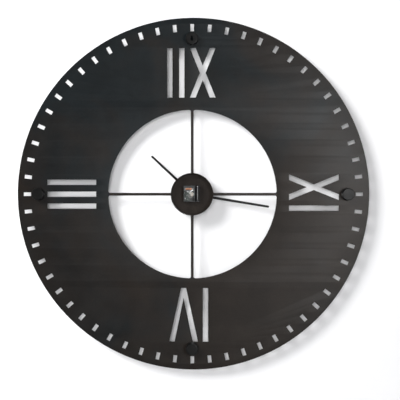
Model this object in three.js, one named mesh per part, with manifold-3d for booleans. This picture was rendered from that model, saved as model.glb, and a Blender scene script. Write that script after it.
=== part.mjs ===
// A large open-frame wall clock: a laser-cut steel dial ring on four spokes, a hub cup that
// holds a quartz movement, four standoff cups (the top one has a keyhole) and two hands.
// Millimetres, +Z up. The dial's front faces -Y and the wall is at +Y. The hands turn about
// the Y axis through x = 0, z = 0, and y = 0 is the middle of the clock's depth.
import * as THREE from 'three';
import { mergeVertices } from 'three/addons/utils/BufferGeometryUtils.js';
import Module from 'manifold-3d';

const wasm = await Module();
wasm.setup();

// ---------------------------------------------------------------- driving dimensions
const GAP = 0.3; // left between pieces that touch

// dial ring; these sizes count y from the plate's front face, and the last section moves the
// whole clock so that y = 0 is the middle of its depth
const RING_RADIUS = 609.6;
const RING_HOLE_RADIUS = 292.1;
const PLATE = 2;
const RING_SEGMENTS = 96;
const RING_HOLE_SEGMENTS = 72;
const SLOTS = 60;
const SLOT_RADIUS = 575.8;
const SLOT_LENGTH = 25.4;
const SLOT_WIDTH = 12.7;

// numerals: cut-outs whose bases point at the hands' axis
const STROKE = 18.4;
const NUMERAL_RADIUS = 420;
const NUMERAL_HEIGHT = 171;
const X_LEAN = 34.5; // how far an arm of an X has moved sideways at its ends
const X_ARM = 20; // an X arm's width, measured along the dial's tangent
const V_HALF_WIDTH = 50;
const V_FOOT = 17.2; // the flat end of the V's point
const V_CROTCH = 360.5; // radius at which the V's two inner edges meet
const VI_RADIUS = 419;
const VI_HEIGHT = 187;

// spokes
const SPOKE_WIDTH = 9.5;
const SPOKE_THICKNESS = 3;
const FILLET = 5; // the weld's spread at each end of a spoke

// hub cup
const CUP_RADIUS = 73;
const CUP_WALL = 1.5;
const CUP_BEND = 2.5;
const CUP_FLOOR_FRONT = -3;
const CUP_RIM = 27;
const CUP_SEGMENTS = 40;

// standoff cups
const STANDOFF_RADIUS = 21;
const STANDOFF_HEIGHT = 27;
const STANDOFF_PLACE = 534.5; // from the hands' axis
const STANDOFF_WALL = 1.5;
const STANDOFF_BEND = 3;
const KEYHOLE_ENTRY_RADIUS = 5;
const KEYHOLE_SLOT_WIDTH = 5;
const KEYHOLE_ENTRY_DROP = 3.5;
const KEYHOLE_SLOT_RISE = 6;
const STANDOFF_SEGMENTS = 20;

// movement; its own y = 0 is the cup floor's inner face
const CASE = { left: -26.5, right: 29.5, bottom: -26, top: 30, front: 1.6, back: 18 };
const CASE_WALL = 1.2;
const CASE_FLOOR = 1.4;
const BAY_WIDTH = 14.9; // battery bay, along the case's left side
const DIVIDER = 1;
const COVER = { front: 16.6, back: 17.8 };
const BATTERY_RADIUS = 7.1;
const BATTERY_LENGTH = 50;
const MIDDLE_PLATE = { front: 8.2, back: 9.4 };
const POST_FOOT = 0.2; // how far a moulded post is sunk into the case's floor or walls
const POST_RADIUS = 1.5;
const LEDGE = 2; // square ledges under the gear cover's corners

// clamping stack on the threaded bushing
const BUSHING_RADIUS = 4;
const BUSHING_END = -6.6;
const BUSHING_FLANGE_RADIUS = 6;
const BUSHING_BACK = 2.9;
const RUBBER_RADIUS = 12;
const WASHER_RADIUS = 7.5;
const WASHER_THICKNESS = 0.8;
const NUT_ACROSS_FLATS = 12;
const NUT_THICKNESS = 2.2;

// pipes on the hands' axis
const HOUR_PIPE = { radius: 2.75, bore: 1.95, end: -10.2 };
const MINUTE_PIPE = { radius: 1.75, bore: 0.75, end: -14.6 };
const PIPE_CLEARANCE = 0.2; // between a pipe and what turns or sits round it
const HAND_NUT = { tip: -16.2, radius: 3.2, back: -13.4, floor: -14.9 };

// gear train: modules and tooth counts
const ROTOR_TEETH = 6;
const INTERMEDIATE_TEETH = 30;
const INTERMEDIATE_PINION = 8;
const FOURTH_TEETH = 48;
const FOURTH_PINION = 6;
const THIRD_TEETH = 45;
const THIRD_PINION = 6;
const CENTRE_TEETH = 48;
const CANNON_TEETH = 10;
const MINUTE_WHEEL_TEETH = 30;
const MINUTE_WHEEL_PINION = 8;
const HOUR_WHEEL_TEETH = 32;
const KNOB_TEETH = 10;
const ROTOR_MODULE = 0.3;
const FOURTH_MODULE = 0.27;
const CENTRE_MODULE = 0.333;
const MOTION_MODULE = 0.453;
const PINION_LIMIT = 12; // gears with fewer teeth than this have leaves
const PIPE_SEGMENTS = 16;

// where each wheel lies through the movement's depth, as [front, back]
const LEVEL = {
  hourWheel: [3.4, 4.4],
  minuteWheelPinion: [3.4, 5.3],
  minuteWheel: [5.2, 6],
  cannon: [5, 6.2],
  knobGear: [5.1, 6.1],
  centreWheel: [6.9, 7.7],
  centreHub: [6.6, 8],
  thirdPinion: [6.7, 9.95],
  thirdWheel: [9.9, 10.7],
  fourthPinion: [9.7, 12],
  fourthWheel: [11.9, 12.7],
  fourthHub: [12.6, 14.2],
  magnet: [9.9, 12.5],
  intermediatePinion: [11.6, 13.6],
  intermediateWheel: [13.5, 14.2],
  rotorPinion: [13.2, 14.5],
};

// arbors and their pivots
const ARBOR = 0.35; // radius
const FOURTH_ARBOR = 0.45;
const MINUTE_WHEEL_ARBOR = 0.4;
const CASE_PIVOT = 3.3; // an arbor's end at the case's floor
const PLATE_PIVOT = 8.5; // and in the middle plate
const COVER_PIVOT = 17.2; // and in the gear cover
const SECONDS_TIP = -10; // the fourth wheel's arbor runs forward inside the minute pipe
const PIVOT_HOLE = 0.6;
const MAGNET_RADIUS = 2.7;
const FOURTH_HUB_RADIUS = 1.6;
const CENTRE_BORE = 1.5;
const CENTRE_HUB_RADIUS = 2.2;
const CLUTCH = { radius: 1.2, front: 6, back: 8 }; // the minute pipe's neck inside the centre wheel

// setting knob
const KNOB = { radius: 5.35, valley: 5.1, well: 3.9, knurls: 14, stem: 1.2, boss: 1.6 };
const KNOB_HEAD = { front: 18.1, floor: 18.9, top: 20.8, bossTop: 20.4 };

// stepping motor
const COIL = { x: 12, z: 18.5, y: 12.3, length: 23, radius: 3.5 };
const BOBBIN_BARREL = 2.3;
const BOBBIN_FLANGE = 0.8;
const SCREW_OFFSET = 14.2; // from the coil's middle to each coil screw
const SCREW_HOLE = 0.9;
const SCREW = { head: 1.4, shank: 0.6, top: 14.1, end: 6.4 };
const STATOR = { front: 10.6, back: 11.6, eye: 4.6, magnetHole: 3.1 };
const CORE = { reach: SCREW_OFFSET + 1.8, half: 1.6, front: 11.9, back: 12.7 };
const COIL_POST = { radius: 1.9, back: 10.3 };

// circuit board and what is on it
const BOARD = { left: 9.8, right: 28, bottom: -22.5, top: 8.5, front: 3.3, back: 4.3 };
const CRYSTAL = { x: 24.5, z: -15, radius: 1, half: 3 };
const CHIP = { x: 20.5, z: -3.5, radius: 3, height: 1.6 };

// battery contacts
const CONTACT = { half: 4.5, leafHalf: 5, thickness: 0.4, front: 3.4, back: 15.5, leafBack: 15, bow: 1.5 };

// hands, pointing at the time they are stored at
const HAND_THICKNESS = 0.6;
const HOUR_HAND = {
  tip: 195.7,
  tail: 42,
  root: 9.3,
  end: 7.3,
  boss: 8,
  direction: [0.731, 0.682],
  y: -8.6,
  collet: [-9.4, -7.2],
};
const MINUTE_HAND = {
  tip: 270,
  tail: 55,
  root: 9.3,
  end: 7.6,
  boss: 7,
  direction: [-0.987, -0.162],
  y: -12.6,
  collet: [-13.1, -11.2],
};
const COLLET_SHARE = 0.55; // a collet's radius as a share of its boss's

// ---------------------------------------------------------------- materials
function finish(color, roughness, metalness, opacity = 1) {
  return new THREE.MeshStandardMaterial({ color, roughness, metalness, opacity, transparent: opacity < 1 });
}

const gunmetal = finish(0x393837, 0.5, 0.8);
const spokeSteel = finish(0x403a36, 0.55, 0.8);
const satinBlack = finish(0x2c2b2a, 0.45, 0.6);
const handBlack = finish(0x0e0e0f, 0.5, 0.3);
const caseBlack = finish(0x161617, 0.5, 0);
const clearCover = finish(0xd9dcdc, 0.1, 0, 0.3);
const whitePlastic = finish(0xdedbd0, 0.45, 0);
const brass = finish(0xb5924c, 0.3, 1);
const steel = finish(0x9a9b9d, 0.3, 1);
const darkSteel = finish(0x3b3c3e, 0.4, 0.9);
const copper = finish(0xb0623a, 0.35, 1);
const boardGreen = finish(0x2b4a33, 0.55, 0);
const rubber = finish(0x121212, 0.85, 0);
const sleeve = finish(0x1a1a1b, 0.35, 0.2);

// ---------------------------------------------------------------- shaping helpers
const clock = new THREE.Group();
const movement = new THREE.Group();
movement.position.y = CUP_FLOOR_FRONT + CUP_WALL;
clock.add(movement);

function place(group, name, geometry, material) {
  const mesh = new THREE.Mesh(geometry, material);
  mesh.name = name;
  group.add(mesh);
  return mesh;
}

const point = (x, z) => new THREE.Vector2(x, z);
const polar = (radius, angle) => point(radius * Math.cos(angle), radius * Math.sin(angle));

function circle(radius, segments, x = 0, z = 0) {
  return Array.from({ length: segments }, (_, i) =>
    polar(radius, (2 * Math.PI * i) / segments).add(point(x, z)));
}

const rectangle = (left, bottom, right, top) =>
  [point(left, bottom), point(right, bottom), point(right, top), point(left, top)];

// A flat piece: an outline in x and z with holes, from y = front to y = back.
function sheet(outer, holes, front, back) {
  const shape = new THREE.Shape(outer);
  shape.holes = holes.map((hole) => new THREE.Path(hole));
  return new THREE.ExtrudeGeometry(shape, { depth: back - front, bevelEnabled: false })
    .rotateX(Math.PI / 2)
    .translate(0, back, 0);
}

const box = (x0, z0, x1, z1, front, back) => sheet(rectangle(x0, z0, x1, z1), [], front, back);
const rod = (radius, segments, x, z, front, back) => sheet(circle(radius, segments, x, z), [], front, back);

const tube = (outside, bore, front, back) =>
  sheet(circle(outside, PIPE_SEGMENTS), [circle(bore, PIPE_SEGMENTS)], front, back);

// A turned piece about the Y axis, from [radius, y] pairs that start and end on the axis.
function turned(profile, segments, closed = false) {
  const points = profile.map(([radius, y]) => point(radius, y));
  if (closed) points.push(points[0].clone());
  if (THREE.ShapeUtils.area(points) < 0) points.reverse();
  return new THREE.LatheGeometry(points, segments);
}

function toSolid(geometry) {
  const bare = new THREE.BufferGeometry();
  const source = geometry.index ? geometry.toNonIndexed() : geometry;
  bare.setAttribute('position', source.getAttribute('position').clone());
  const merged = mergeVertices(bare, 1e-4);
  const triVerts = new Uint32Array(merged.index.array);
  return new wasm.Manifold(
    new wasm.Mesh({ numProp: 3, vertProperties: merged.attributes.position.array, triVerts }));
}

function toGeometry(solid) {
  const mesh = solid.getMesh();
  const geometry = new THREE.BufferGeometry();
  geometry.setAttribute('position', new THREE.BufferAttribute(mesh.vertProperties, 3));
  geometry.setIndex(new THREE.BufferAttribute(mesh.triVerts, 1));
  return geometry;
}

const join = (...pieces) => toGeometry(pieces.map(toSolid).reduce((a, b) => a.add(b)));
const cut = (piece, ...tools) =>
  toGeometry(tools.map(toSolid).reduce((a, b) => a.subtract(b), toSolid(piece)));

// ---------------------------------------------------------------- dial ring
// The four numerals stand at these directions; up is the way a glyph's top points.
const UP = { 12: [0, 1], 3: [1, 0], 6: [0, -1], 9: [-1, 0] };

// Carries [across, radius] pairs to x and z for the numeral at an hour.
function atHour(hour, outline) {
  const [ux, uz] = UP[hour];
  return outline.map(([across, radius]) =>
    point(ux * radius + uz * across, uz * radius - ux * across));
}

function strokeI(across, radius, height) {
  const half = STROKE / 2;
  const low = radius - height / 2;
  const high = radius + height / 2;
  return [[across - half, low], [across + half, low], [across + half, high], [across - half, high]];
}

function strokeX(across, radius, height) {
  const h = height / 2;
  const w = X_ARM / 2;
  const notch = (h * w) / X_LEAN;
  const right = [[X_LEAN - w, h], [X_LEAN + w, h], [w, 0], [X_LEAN + w, -h], [X_LEAN - w, -h]];
  const left = right.map(([a, r]) => [-a, r]).reverse();
  return [...right, [0, -notch], ...left, [0, notch]].map(([a, r]) => [a + across, r + radius]);
}

function strokeV(across, radius, height) {
  const low = radius - height / 2;
  const high = radius + height / 2;
  const inner = V_HALF_WIDTH - STROKE;
  return [
    [-V_HALF_WIDTH, high], [-V_FOOT / 2, low], [V_FOOT / 2, low], [V_HALF_WIDTH, high],
    [inner, high], [0, V_CROTCH], [-inner, high],
  ].map(([a, r]) => [a + across, r]);
}

function numeral(hour, glyphs, radius = NUMERAL_RADIUS, height = NUMERAL_HEIGHT) {
  return glyphs.map(([stroke, across]) => atHour(hour, stroke(across, radius, height)));
}

function minuteSlot(index) {
  const angle = (2 * Math.PI * index) / SLOTS;
  const low = SLOT_RADIUS - SLOT_LENGTH / 2;
  const high = SLOT_RADIUS + SLOT_LENGTH / 2;
  const half = SLOT_WIDTH / 2;
  return rectangle(low, -half, high, half).map((p) => p.rotateAround(point(0, 0), angle));
}

function dialRing() {
  const openings = [
    ...Array.from({ length: SLOTS }, (_, i) => minuteSlot(i)),
    ...numeral(12, [[strokeX, -36.5], [strokeI, 36], [strokeI, 77.5]]),
    ...numeral(3, [[strokeI, -41.5], [strokeI, 0], [strokeI, 41.5]]),
    ...numeral(6, [[strokeV, -30], [strokeI, 46]], VI_RADIUS, VI_HEIGHT),
    ...numeral(9, [[strokeI, -48], [strokeX, 24.5]]),
  ];
  const hole = circle(RING_HOLE_RADIUS, RING_HOLE_SEGMENTS);
  const disc = sheet(circle(RING_RADIUS, RING_SEGMENTS), [hole], 0, PLATE);
  return cut(disc, ...openings.map((outline) => sheet(outline, [], -1, PLATE + 1)));
}

place(clock, 'dial_ring', dialRing(), gunmetal);

// ---------------------------------------------------------------- spokes, cup and standoffs
function spoke() {
  const inner = CUP_RADIUS + GAP;
  const outer = RING_HOLE_RADIUS - 2 * GAP;
  const half = SPOKE_WIDTH / 2;
  const upper = [
    [inner, half + FILLET / 2], [inner + FILLET / 2, half], [outer - FILLET, half],
    [outer - FILLET / 3, half + FILLET / 3], [outer, half + FILLET],
  ];
  const lower = upper.map(([x, z]) => [x, -z]).reverse();
  return sheet([...upper, ...lower].map(([x, z]) => point(x, z)), [], 0, SPOKE_THICKNESS);
}

const SIDES = { top: Math.PI / 2, right: 0, bottom: -Math.PI / 2, left: Math.PI };

for (const [side, angle] of Object.entries(SIDES)) {
  const bar = place(clock, `spoke_${side}`, spoke(), spokeSteel);
  bar.rotation.y = -angle;
}

// The quarter bend of a pressed corner, as [radius, y] pairs from the wall to the face.
function bend(radius, y, bendRadius, direction, steps) {
  return Array.from({ length: steps + 1 }, (_, i) => {
    const angle = (Math.PI / 2) * (i / steps);
    const out = radius - bendRadius * (1 - Math.cos(angle));
    return [out, y - direction * bendRadius * (1 - Math.sin(angle))];
  });
}

function hubCup() {
  const inside = CUP_RADIUS - CUP_WALL;
  const innerFace = CUP_FLOOR_FRONT + CUP_WALL;
  const hole = BUSHING_RADIUS + GAP;
  const profile = [
    [CUP_RADIUS, CUP_RIM],
    ...bend(CUP_RADIUS, CUP_FLOOR_FRONT, CUP_BEND, -1, 2),
    [hole, CUP_FLOOR_FRONT],
    [hole, innerFace],
    ...bend(inside, innerFace, CUP_BEND - CUP_WALL, -1, 1).reverse(),
    [inside, CUP_RIM],
  ];
  return turned(profile, CUP_SEGMENTS, true);
}

place(clock, 'hub_cup', hubCup(), spokeSteel);

function standoff() {
  const back = PLATE + STANDOFF_HEIGHT;
  const inside = STANDOFF_RADIUS - STANDOFF_WALL;
  const profile = [
    [0, back],
    ...bend(STANDOFF_RADIUS, back, STANDOFF_BEND, 1, 2).reverse(),
    [STANDOFF_RADIUS, PLATE + GAP],
    [inside, PLATE + GAP],
    ...bend(inside, back - STANDOFF_WALL, STANDOFF_BEND - STANDOFF_WALL, 1, 1),
    [0, back - STANDOFF_WALL],
  ];
  return turned(profile, STANDOFF_SEGMENTS);
}

// A round entry with a narrower slot above it, which slides down over the wall screw's shank.
function keyhole() {
  const back = PLATE + STANDOFF_HEIGHT;
  const front = back - 2 * STANDOFF_WALL;
  const half = KEYHOLE_SLOT_WIDTH / 2;
  return join(
    rod(KEYHOLE_ENTRY_RADIUS, 16, 0, -KEYHOLE_ENTRY_DROP, front, back + 1),
    box(-half, -KEYHOLE_ENTRY_DROP, half, KEYHOLE_SLOT_RISE, front, back + 1),
    rod(half, 12, 0, KEYHOLE_SLOT_RISE, front, back + 1),
  );
}

for (const [side, angle] of Object.entries(SIDES)) {
  const shape = side === 'top' ? cut(standoff(), keyhole()) : standoff();
  const cup = place(clock, `standoff_${side}`, shape, satinBlack);
  cup.position.set(STANDOFF_PLACE * Math.cos(angle), 0, STANDOFF_PLACE * Math.sin(angle));
}

// ---------------------------------------------------------------- gears
const radiusOf = (teeth, module) => (teeth * module) / 2;
const pinionDistance = (a, b, module) => radiusOf(a + b, module);

// A wheel's teeth are pointed and a pinion's are flat-topped leaves.
function teeth(count, module, phase) {
  const pitch = (2 * Math.PI) / count;
  const leaf = count < PINION_LIMIT;
  const tip = radiusOf(count, module) + 0.75 * module;
  const root = radiusOf(count, module) - 1.15 * module;
  const wide = (leaf ? 0.2 : 0.3) * pitch;
  const crest = leaf ? [-0.12 * pitch, 0.12 * pitch] : [0];
  return Array.from({ length: count }, (_, i) => phase + i * pitch).flatMap((angle) => [
    polar(root, angle - wide),
    ...crest.map((offset) => polar(tip, angle + offset)),
    polar(root, angle + wide),
  ]);
}

// The phase that puts a gap of gear b against a tooth of gear a across the line from a to b.
function meshed(from, to, countA, phaseA, countB) {
  const direction = Math.atan2(to.y - from.y, to.x - from.x);
  const share = ((direction - phaseA) * countA) / (2 * Math.PI);
  return direction + Math.PI - ((0.5 - share) * 2 * Math.PI) / countB;
}

function gear(count, module, phase, [front, back], bore = 0) {
  const holes = bore ? [circle(bore, PIPE_SEGMENTS)] : [];
  return sheet(teeth(count, module, phase), holes, front, back);
}

// The point at distance a from one centre and b from another, on the right-hand side of the line.
function apart(from, a, to, b) {
  const line = to.clone().sub(from);
  const d = line.length();
  const along = (a * a - b * b + d * d) / (2 * d);
  const off = Math.sqrt(Math.max(a * a - along * along, 0));
  line.divideScalar(d);
  return from.clone().addScaledVector(line, along).add(point(-line.y, line.x).multiplyScalar(off));
}

const THIRD_DISTANCE = pinionDistance(THIRD_PINION, CENTRE_TEETH, CENTRE_MODULE);
const THIRD_MODULE = (2 * THIRD_DISTANCE) / (FOURTH_PINION + THIRD_TEETH);
const MINUTE_DISTANCE = pinionDistance(CANNON_TEETH, MINUTE_WHEEL_TEETH, MOTION_MODULE);
const HOUR_MODULE = (2 * MINUTE_DISTANCE) / (MINUTE_WHEEL_PINION + HOUR_WHEEL_TEETH);
const TRAIN_ANGLE = Math.atan2(3, 4); // from the hands' axis towards the rotor

const axis = point(0, 0);
const intermediateAt = polar(
  pinionDistance(INTERMEDIATE_PINION, FOURTH_TEETH, FOURTH_MODULE), TRAIN_ANGLE);
const rotorAt = polar(
  intermediateAt.length() + pinionDistance(ROTOR_TEETH, INTERMEDIATE_TEETH, ROTOR_MODULE), TRAIN_ANGLE);
const thirdAt = polar(THIRD_DISTANCE, -0.71);
const knobAt = point(-5.2, -17);
const minuteWheelAt = apart(axis, MINUTE_DISTANCE, knobAt, MINUTE_DISTANCE);

// phases along each train
const intermediatePhase = meshed(rotorAt, intermediateAt, ROTOR_TEETH, 0, INTERMEDIATE_TEETH);
const fourthPhase = meshed(intermediateAt, axis, INTERMEDIATE_PINION, 0, FOURTH_TEETH);
const thirdPhase = meshed(axis, thirdAt, FOURTH_PINION, 0, THIRD_TEETH);
const centrePhase = meshed(thirdAt, axis, THIRD_PINION, 0, CENTRE_TEETH);
const minuteWheelPhase = meshed(axis, minuteWheelAt, CANNON_TEETH, 0, MINUTE_WHEEL_TEETH);
const hourWheelPhase = meshed(minuteWheelAt, axis, MINUTE_WHEEL_PINION, 0, HOUR_WHEEL_TEETH);
const knobPhase = meshed(minuteWheelAt, knobAt, MINUTE_WHEEL_TEETH, minuteWheelPhase, KNOB_TEETH);

function placeAt(name, at, geometry, material) {
  const mesh = place(movement, name, geometry, material);
  mesh.position.set(at.x, 0, at.y);
  return mesh;
}

const arbor = (front, back, radius = ARBOR) => rod(radius, 8, 0, 0, front, back);

placeAt('rotor', rotorAt, join(
  arbor(PLATE_PIVOT, COVER_PIVOT),
  rod(MAGNET_RADIUS, 16, 0, 0, ...LEVEL.magnet),
  gear(ROTOR_TEETH, ROTOR_MODULE, 0, LEVEL.rotorPinion),
), darkSteel);

placeAt('intermediate_wheel', intermediateAt, join(
  arbor(PLATE_PIVOT, COVER_PIVOT),
  gear(INTERMEDIATE_PINION, FOURTH_MODULE, 0, LEVEL.intermediatePinion),
  gear(INTERMEDIATE_TEETH, ROTOR_MODULE, intermediatePhase, LEVEL.intermediateWheel),
), whitePlastic);

placeAt('fourth_wheel', axis, join(
  arbor(SECONDS_TIP, COVER_PIVOT, FOURTH_ARBOR),
  gear(FOURTH_PINION, THIRD_MODULE, 0, LEVEL.fourthPinion),
  gear(FOURTH_TEETH, FOURTH_MODULE, fourthPhase, LEVEL.fourthWheel),
  rod(FOURTH_HUB_RADIUS, 12, 0, 0, ...LEVEL.fourthHub),
), whitePlastic);

placeAt('third_wheel', thirdAt, join(
  arbor(CASE_PIVOT, COVER_PIVOT),
  gear(THIRD_PINION, CENTRE_MODULE, 0, LEVEL.thirdPinion),
  gear(THIRD_TEETH, THIRD_MODULE, thirdPhase, LEVEL.thirdWheel),
), whitePlastic);

placeAt('centre_wheel', axis, join(
  gear(CENTRE_TEETH, CENTRE_MODULE, centrePhase, LEVEL.centreWheel, CENTRE_BORE),
  tube(CENTRE_HUB_RADIUS, CENTRE_BORE, ...LEVEL.centreHub),
), brass);

placeAt('minute_wheel', minuteWheelAt, join(
  arbor(CASE_PIVOT, MIDDLE_PLATE.front - GAP, MINUTE_WHEEL_ARBOR),
  gear(MINUTE_WHEEL_PINION, HOUR_MODULE, 0, LEVEL.minuteWheelPinion),
  gear(MINUTE_WHEEL_TEETH, MOTION_MODULE, minuteWheelPhase, LEVEL.minuteWheel),
), whitePlastic);

const [hourWheelFront, hourWheelBack] = LEVEL.hourWheel;
placeAt('hour_wheel', axis, join(
  gear(HOUR_WHEEL_TEETH, HOUR_MODULE, hourWheelPhase, LEVEL.hourWheel, HOUR_PIPE.bore),
  tube(HOUR_PIPE.radius, HOUR_PIPE.bore, HOUR_PIPE.end, (hourWheelFront + hourWheelBack) / 2),
), whitePlastic);

placeAt('minute_pipe', axis, join(
  gear(CANNON_TEETH, MOTION_MODULE, 0, LEVEL.cannon, MINUTE_PIPE.bore),
  tube(MINUTE_PIPE.radius, MINUTE_PIPE.bore, MINUTE_PIPE.end, (LEVEL.cannon[0] + CLUTCH.front) / 2),
  tube(CLUTCH.radius, MINUTE_PIPE.bore, CLUTCH.front, CLUTCH.back),
), brass);

// The knob's head is a knurled cup with a raised middle.
function knobHead() {
  const { front, floor, top, bossTop } = KNOB_HEAD;
  const rim = Array.from({ length: 2 * KNOB.knurls }, (_, i) =>
    polar(i % 2 ? KNOB.valley : KNOB.radius, (Math.PI * i) / KNOB.knurls));
  return join(
    sheet(rim, [circle(KNOB.well, 20)], floor - 0.1, top),
    sheet(rim, [], front, floor + 0.1),
    rod(KNOB.boss, 12, 0, 0, floor, bossTop),
  );
}

placeAt('setting_knob', knobAt, join(
  gear(KNOB_TEETH, MOTION_MODULE, knobPhase, LEVEL.knobGear),
  rod(KNOB.stem, 12, 0, 0, CASE_PIVOT, KNOB_HEAD.front + 0.1),
  knobHead(),
), caseBlack);

// ---------------------------------------------------------------- movement case
const bay = {
  left: CASE.left + CASE_WALL,
  right: CASE.left + CASE_WALL + BAY_WIDTH,
  bottom: CASE.bottom + CASE_WALL,
  top: CASE.top - CASE_WALL,
};
const room = { ...bay, left: bay.right + DIVIDER, right: CASE.right - CASE_WALL };
const floorBack = CASE.front + CASE_FLOOR;
const postFoot = floorBack - POST_FOOT;
const pillars = [[12.5, 10.5], [12.5, -13.2], [-7.2, 10.5]];

// One copy of a round piece at each of the two coil screws.
const atScrews = (radius, segments, front, back) =>
  [-1, 1].map((side) => rod(radius, segments, COIL.x + side * SCREW_OFFSET, COIL.z, front, back));

// A notch in the case's bottom wall lets a fingertip lift the battery out.
const fingerNotch = (open) => box(bay.left + 3, bay.bottom - 5, bay.right - 3, bay.bottom + 1, 12, open);

function movementCase() {
  const shell = box(CASE.left, CASE.bottom, CASE.right, CASE.top, CASE.front, CASE.back);
  const open = CASE.back + 1;
  const hollow = cut(
    shell,
    box(bay.left, bay.bottom, bay.right, bay.top, floorBack, open),
    box(room.left, room.bottom, room.right, room.top, floorBack, open),
    rod(BUSHING_RADIUS + GAP, 24, 0, 0, 0, open),
    fingerNotch(open),
  );
  const plateFront = MIDDLE_PLATE.front - GAP;
  const posts = pillars.map(([x, z]) => rod(POST_RADIUS, 12, x, z, postFoot, plateFront));
  const coilPosts = atScrews(COIL_POST.radius, 14, postFoot, COIL_POST.back);
  const screwHoles = atScrews(SCREW_HOLE, 12, LEVEL.minuteWheel[1], STATOR.front + GAP);
  const ledgeXs = [room.left - POST_FOOT, room.right + POST_FOOT - LEDGE];
  const ledgeZs = [room.bottom - POST_FOOT, room.top + POST_FOOT - LEDGE];
  const ledges = ledgeXs.flatMap((x) =>
    ledgeZs.map((z) => box(x, z, x + LEDGE, z + LEDGE, postFoot, COVER.front - GAP)));
  return cut(join(hollow, ...posts, ...coilPosts, ...ledges), ...screwHoles);
}

place(movement, 'movement_case', movementCase(), caseBlack);

function gearCover() {
  const inset = rectangle(room.left + GAP, room.bottom + GAP, room.right - GAP, room.top - GAP);
  const pivots = [axis, thirdAt, intermediateAt, rotorAt].map((at) => circle(PIVOT_HOLE, 10, at.x, at.y));
  const stemHole = circle(KNOB.stem + 0.4, 16, knobAt.x, knobAt.y);
  return sheet(inset, [stemHole, ...pivots], COVER.front, COVER.back);
}

place(movement, 'gear_cover', gearCover(), clearCover);

function middlePlate() {
  const outer = [
    [-8.9, -12.6], [-4.5, -12.6], [-2.5, -14.9], [14.3, -14.9], [14.3, 12.3], [-8.9, 12.3],
  ].map(([x, z]) => point(x, z));
  const holes = [
    circle(1.6, 16), // the minute pipe's neck
    circle(1.8, 16, thirdAt.x, thirdAt.y), // the third wheel's pinion
    circle(PIVOT_HOLE, 10, intermediateAt.x, intermediateAt.y),
    circle(PIVOT_HOLE, 10, rotorAt.x, rotorAt.y),
  ];
  return sheet(outer, holes, MIDDLE_PLATE.front, MIDDLE_PLATE.back);
}

place(movement, 'middle_plate', middlePlate(), caseBlack);

// ---------------------------------------------------------------- stepping motor and electronics
// A flat plate: an eye around the rotor's magnet and a leg to each end of the coil's core.
function stator() {
  const { front, back, eye } = STATOR;
  const high = COIL.z + 2;
  const low = COIL.z - 5.2;
  const legs = [-1, 1].map((side) => {
    const end = COIL.x + side * SCREW_OFFSET;
    return sheet([
      point(end + side * 1.8, high), point(end - side * 2.2, high), point(end - side * 2.2, low + 1),
      point(rotorAt.x + side * 1.5, rotorAt.y + 4.3), point(rotorAt.x + side * 4.4, rotorAt.y - 1),
      point(end + side * 1.8, low),
    ], [], front, back);
  });
  const screwHoles = atScrews(SCREW_HOLE, 12, front - 1, back + 1);
  const magnetHole = rod(STATOR.magnetHole, 20, rotorAt.x, rotorAt.y, front - 1, back + 1);
  return cut(join(rod(eye, 24, rotorAt.x, rotorAt.y, front, back), ...legs), magnetHole, ...screwHoles);
}

place(movement, 'stator', stator(), steel);

place(movement, 'coil_core', sheet(
  rectangle(COIL.x - CORE.reach, COIL.z - CORE.half, COIL.x + CORE.reach, COIL.z + CORE.half),
  [-1, 1].map((side) => circle(SCREW_HOLE, 12, COIL.x + side * SCREW_OFFSET, COIL.z)),
  CORE.front,
  CORE.back,
), steel);

// Turned about Y, then laid along X at the coil's place.
const alongX = (geometry) => geometry.rotateZ(-Math.PI / 2).translate(COIL.x, COIL.y, COIL.z);

function coilBobbin() {
  const half = COIL.length / 2;
  const inner = half - BOBBIN_FLANGE;
  const reel = alongX(turned([
    [0, -half], [COIL.radius, -half], [COIL.radius, -inner], [BOBBIN_BARREL, -inner],
    [BOBBIN_BARREL, inner], [COIL.radius, inner], [COIL.radius, half], [0, half],
  ], 16));
  const high = CORE.half + GAP;
  const slot = box(COIL.x - half - 1, COIL.z - high, COIL.x + half + 1, COIL.z + high,
    CORE.front - GAP, CORE.back + GAP);
  return cut(reel, slot);
}

function coilWinding() {
  const half = COIL.length / 2 - BOBBIN_FLANGE - GAP;
  const outside = COIL.radius - GAP;
  const inside = BOBBIN_BARREL + GAP;
  return alongX(turned([[inside, -half], [outside, -half], [outside, half], [inside, half]], 16, true));
}

place(movement, 'coil_bobbin', coilBobbin(), whitePlastic);
place(movement, 'coil_winding', coilWinding(), copper);

// A pan-head screw, its head against the core.
const coilScrew = () => turned([
  [0, SCREW.top], [0.64 * SCREW.head, SCREW.top], [SCREW.head, SCREW.top - 0.4],
  [SCREW.head, CORE.back + GAP], [SCREW.shank, CORE.back + GAP], [SCREW.shank, SCREW.end], [0, SCREW.end],
], 10);

for (const [side, sign] of [['left', -1], ['right', 1]]) {
  const screw = place(movement, `coil_screw_${side}`, coilScrew(), steel);
  screw.position.set(COIL.x + sign * SCREW_OFFSET, 0, COIL.z);
}

place(movement, 'circuit_board', sheet(
  rectangle(BOARD.left, BOARD.bottom, BOARD.right, BOARD.top),
  [circle(POST_RADIUS + 0.4, 12, ...pillars[1])],
  BOARD.front,
  BOARD.back,
), boardGreen);

const crystal = turned([
  [0, -CRYSTAL.half], [0.9 * CRYSTAL.radius, -CRYSTAL.half], [CRYSTAL.radius, -0.9 * CRYSTAL.half],
  [CRYSTAL.radius, 0.93 * CRYSTAL.half], [0.8 * CRYSTAL.radius, CRYSTAL.half], [0, CRYSTAL.half],
], 14).rotateX(Math.PI / 2);
place(movement, 'quartz_crystal', crystal, steel)
  .position.set(CRYSTAL.x, BOARD.back + CRYSTAL.radius + GAP, CRYSTAL.z);

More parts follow.
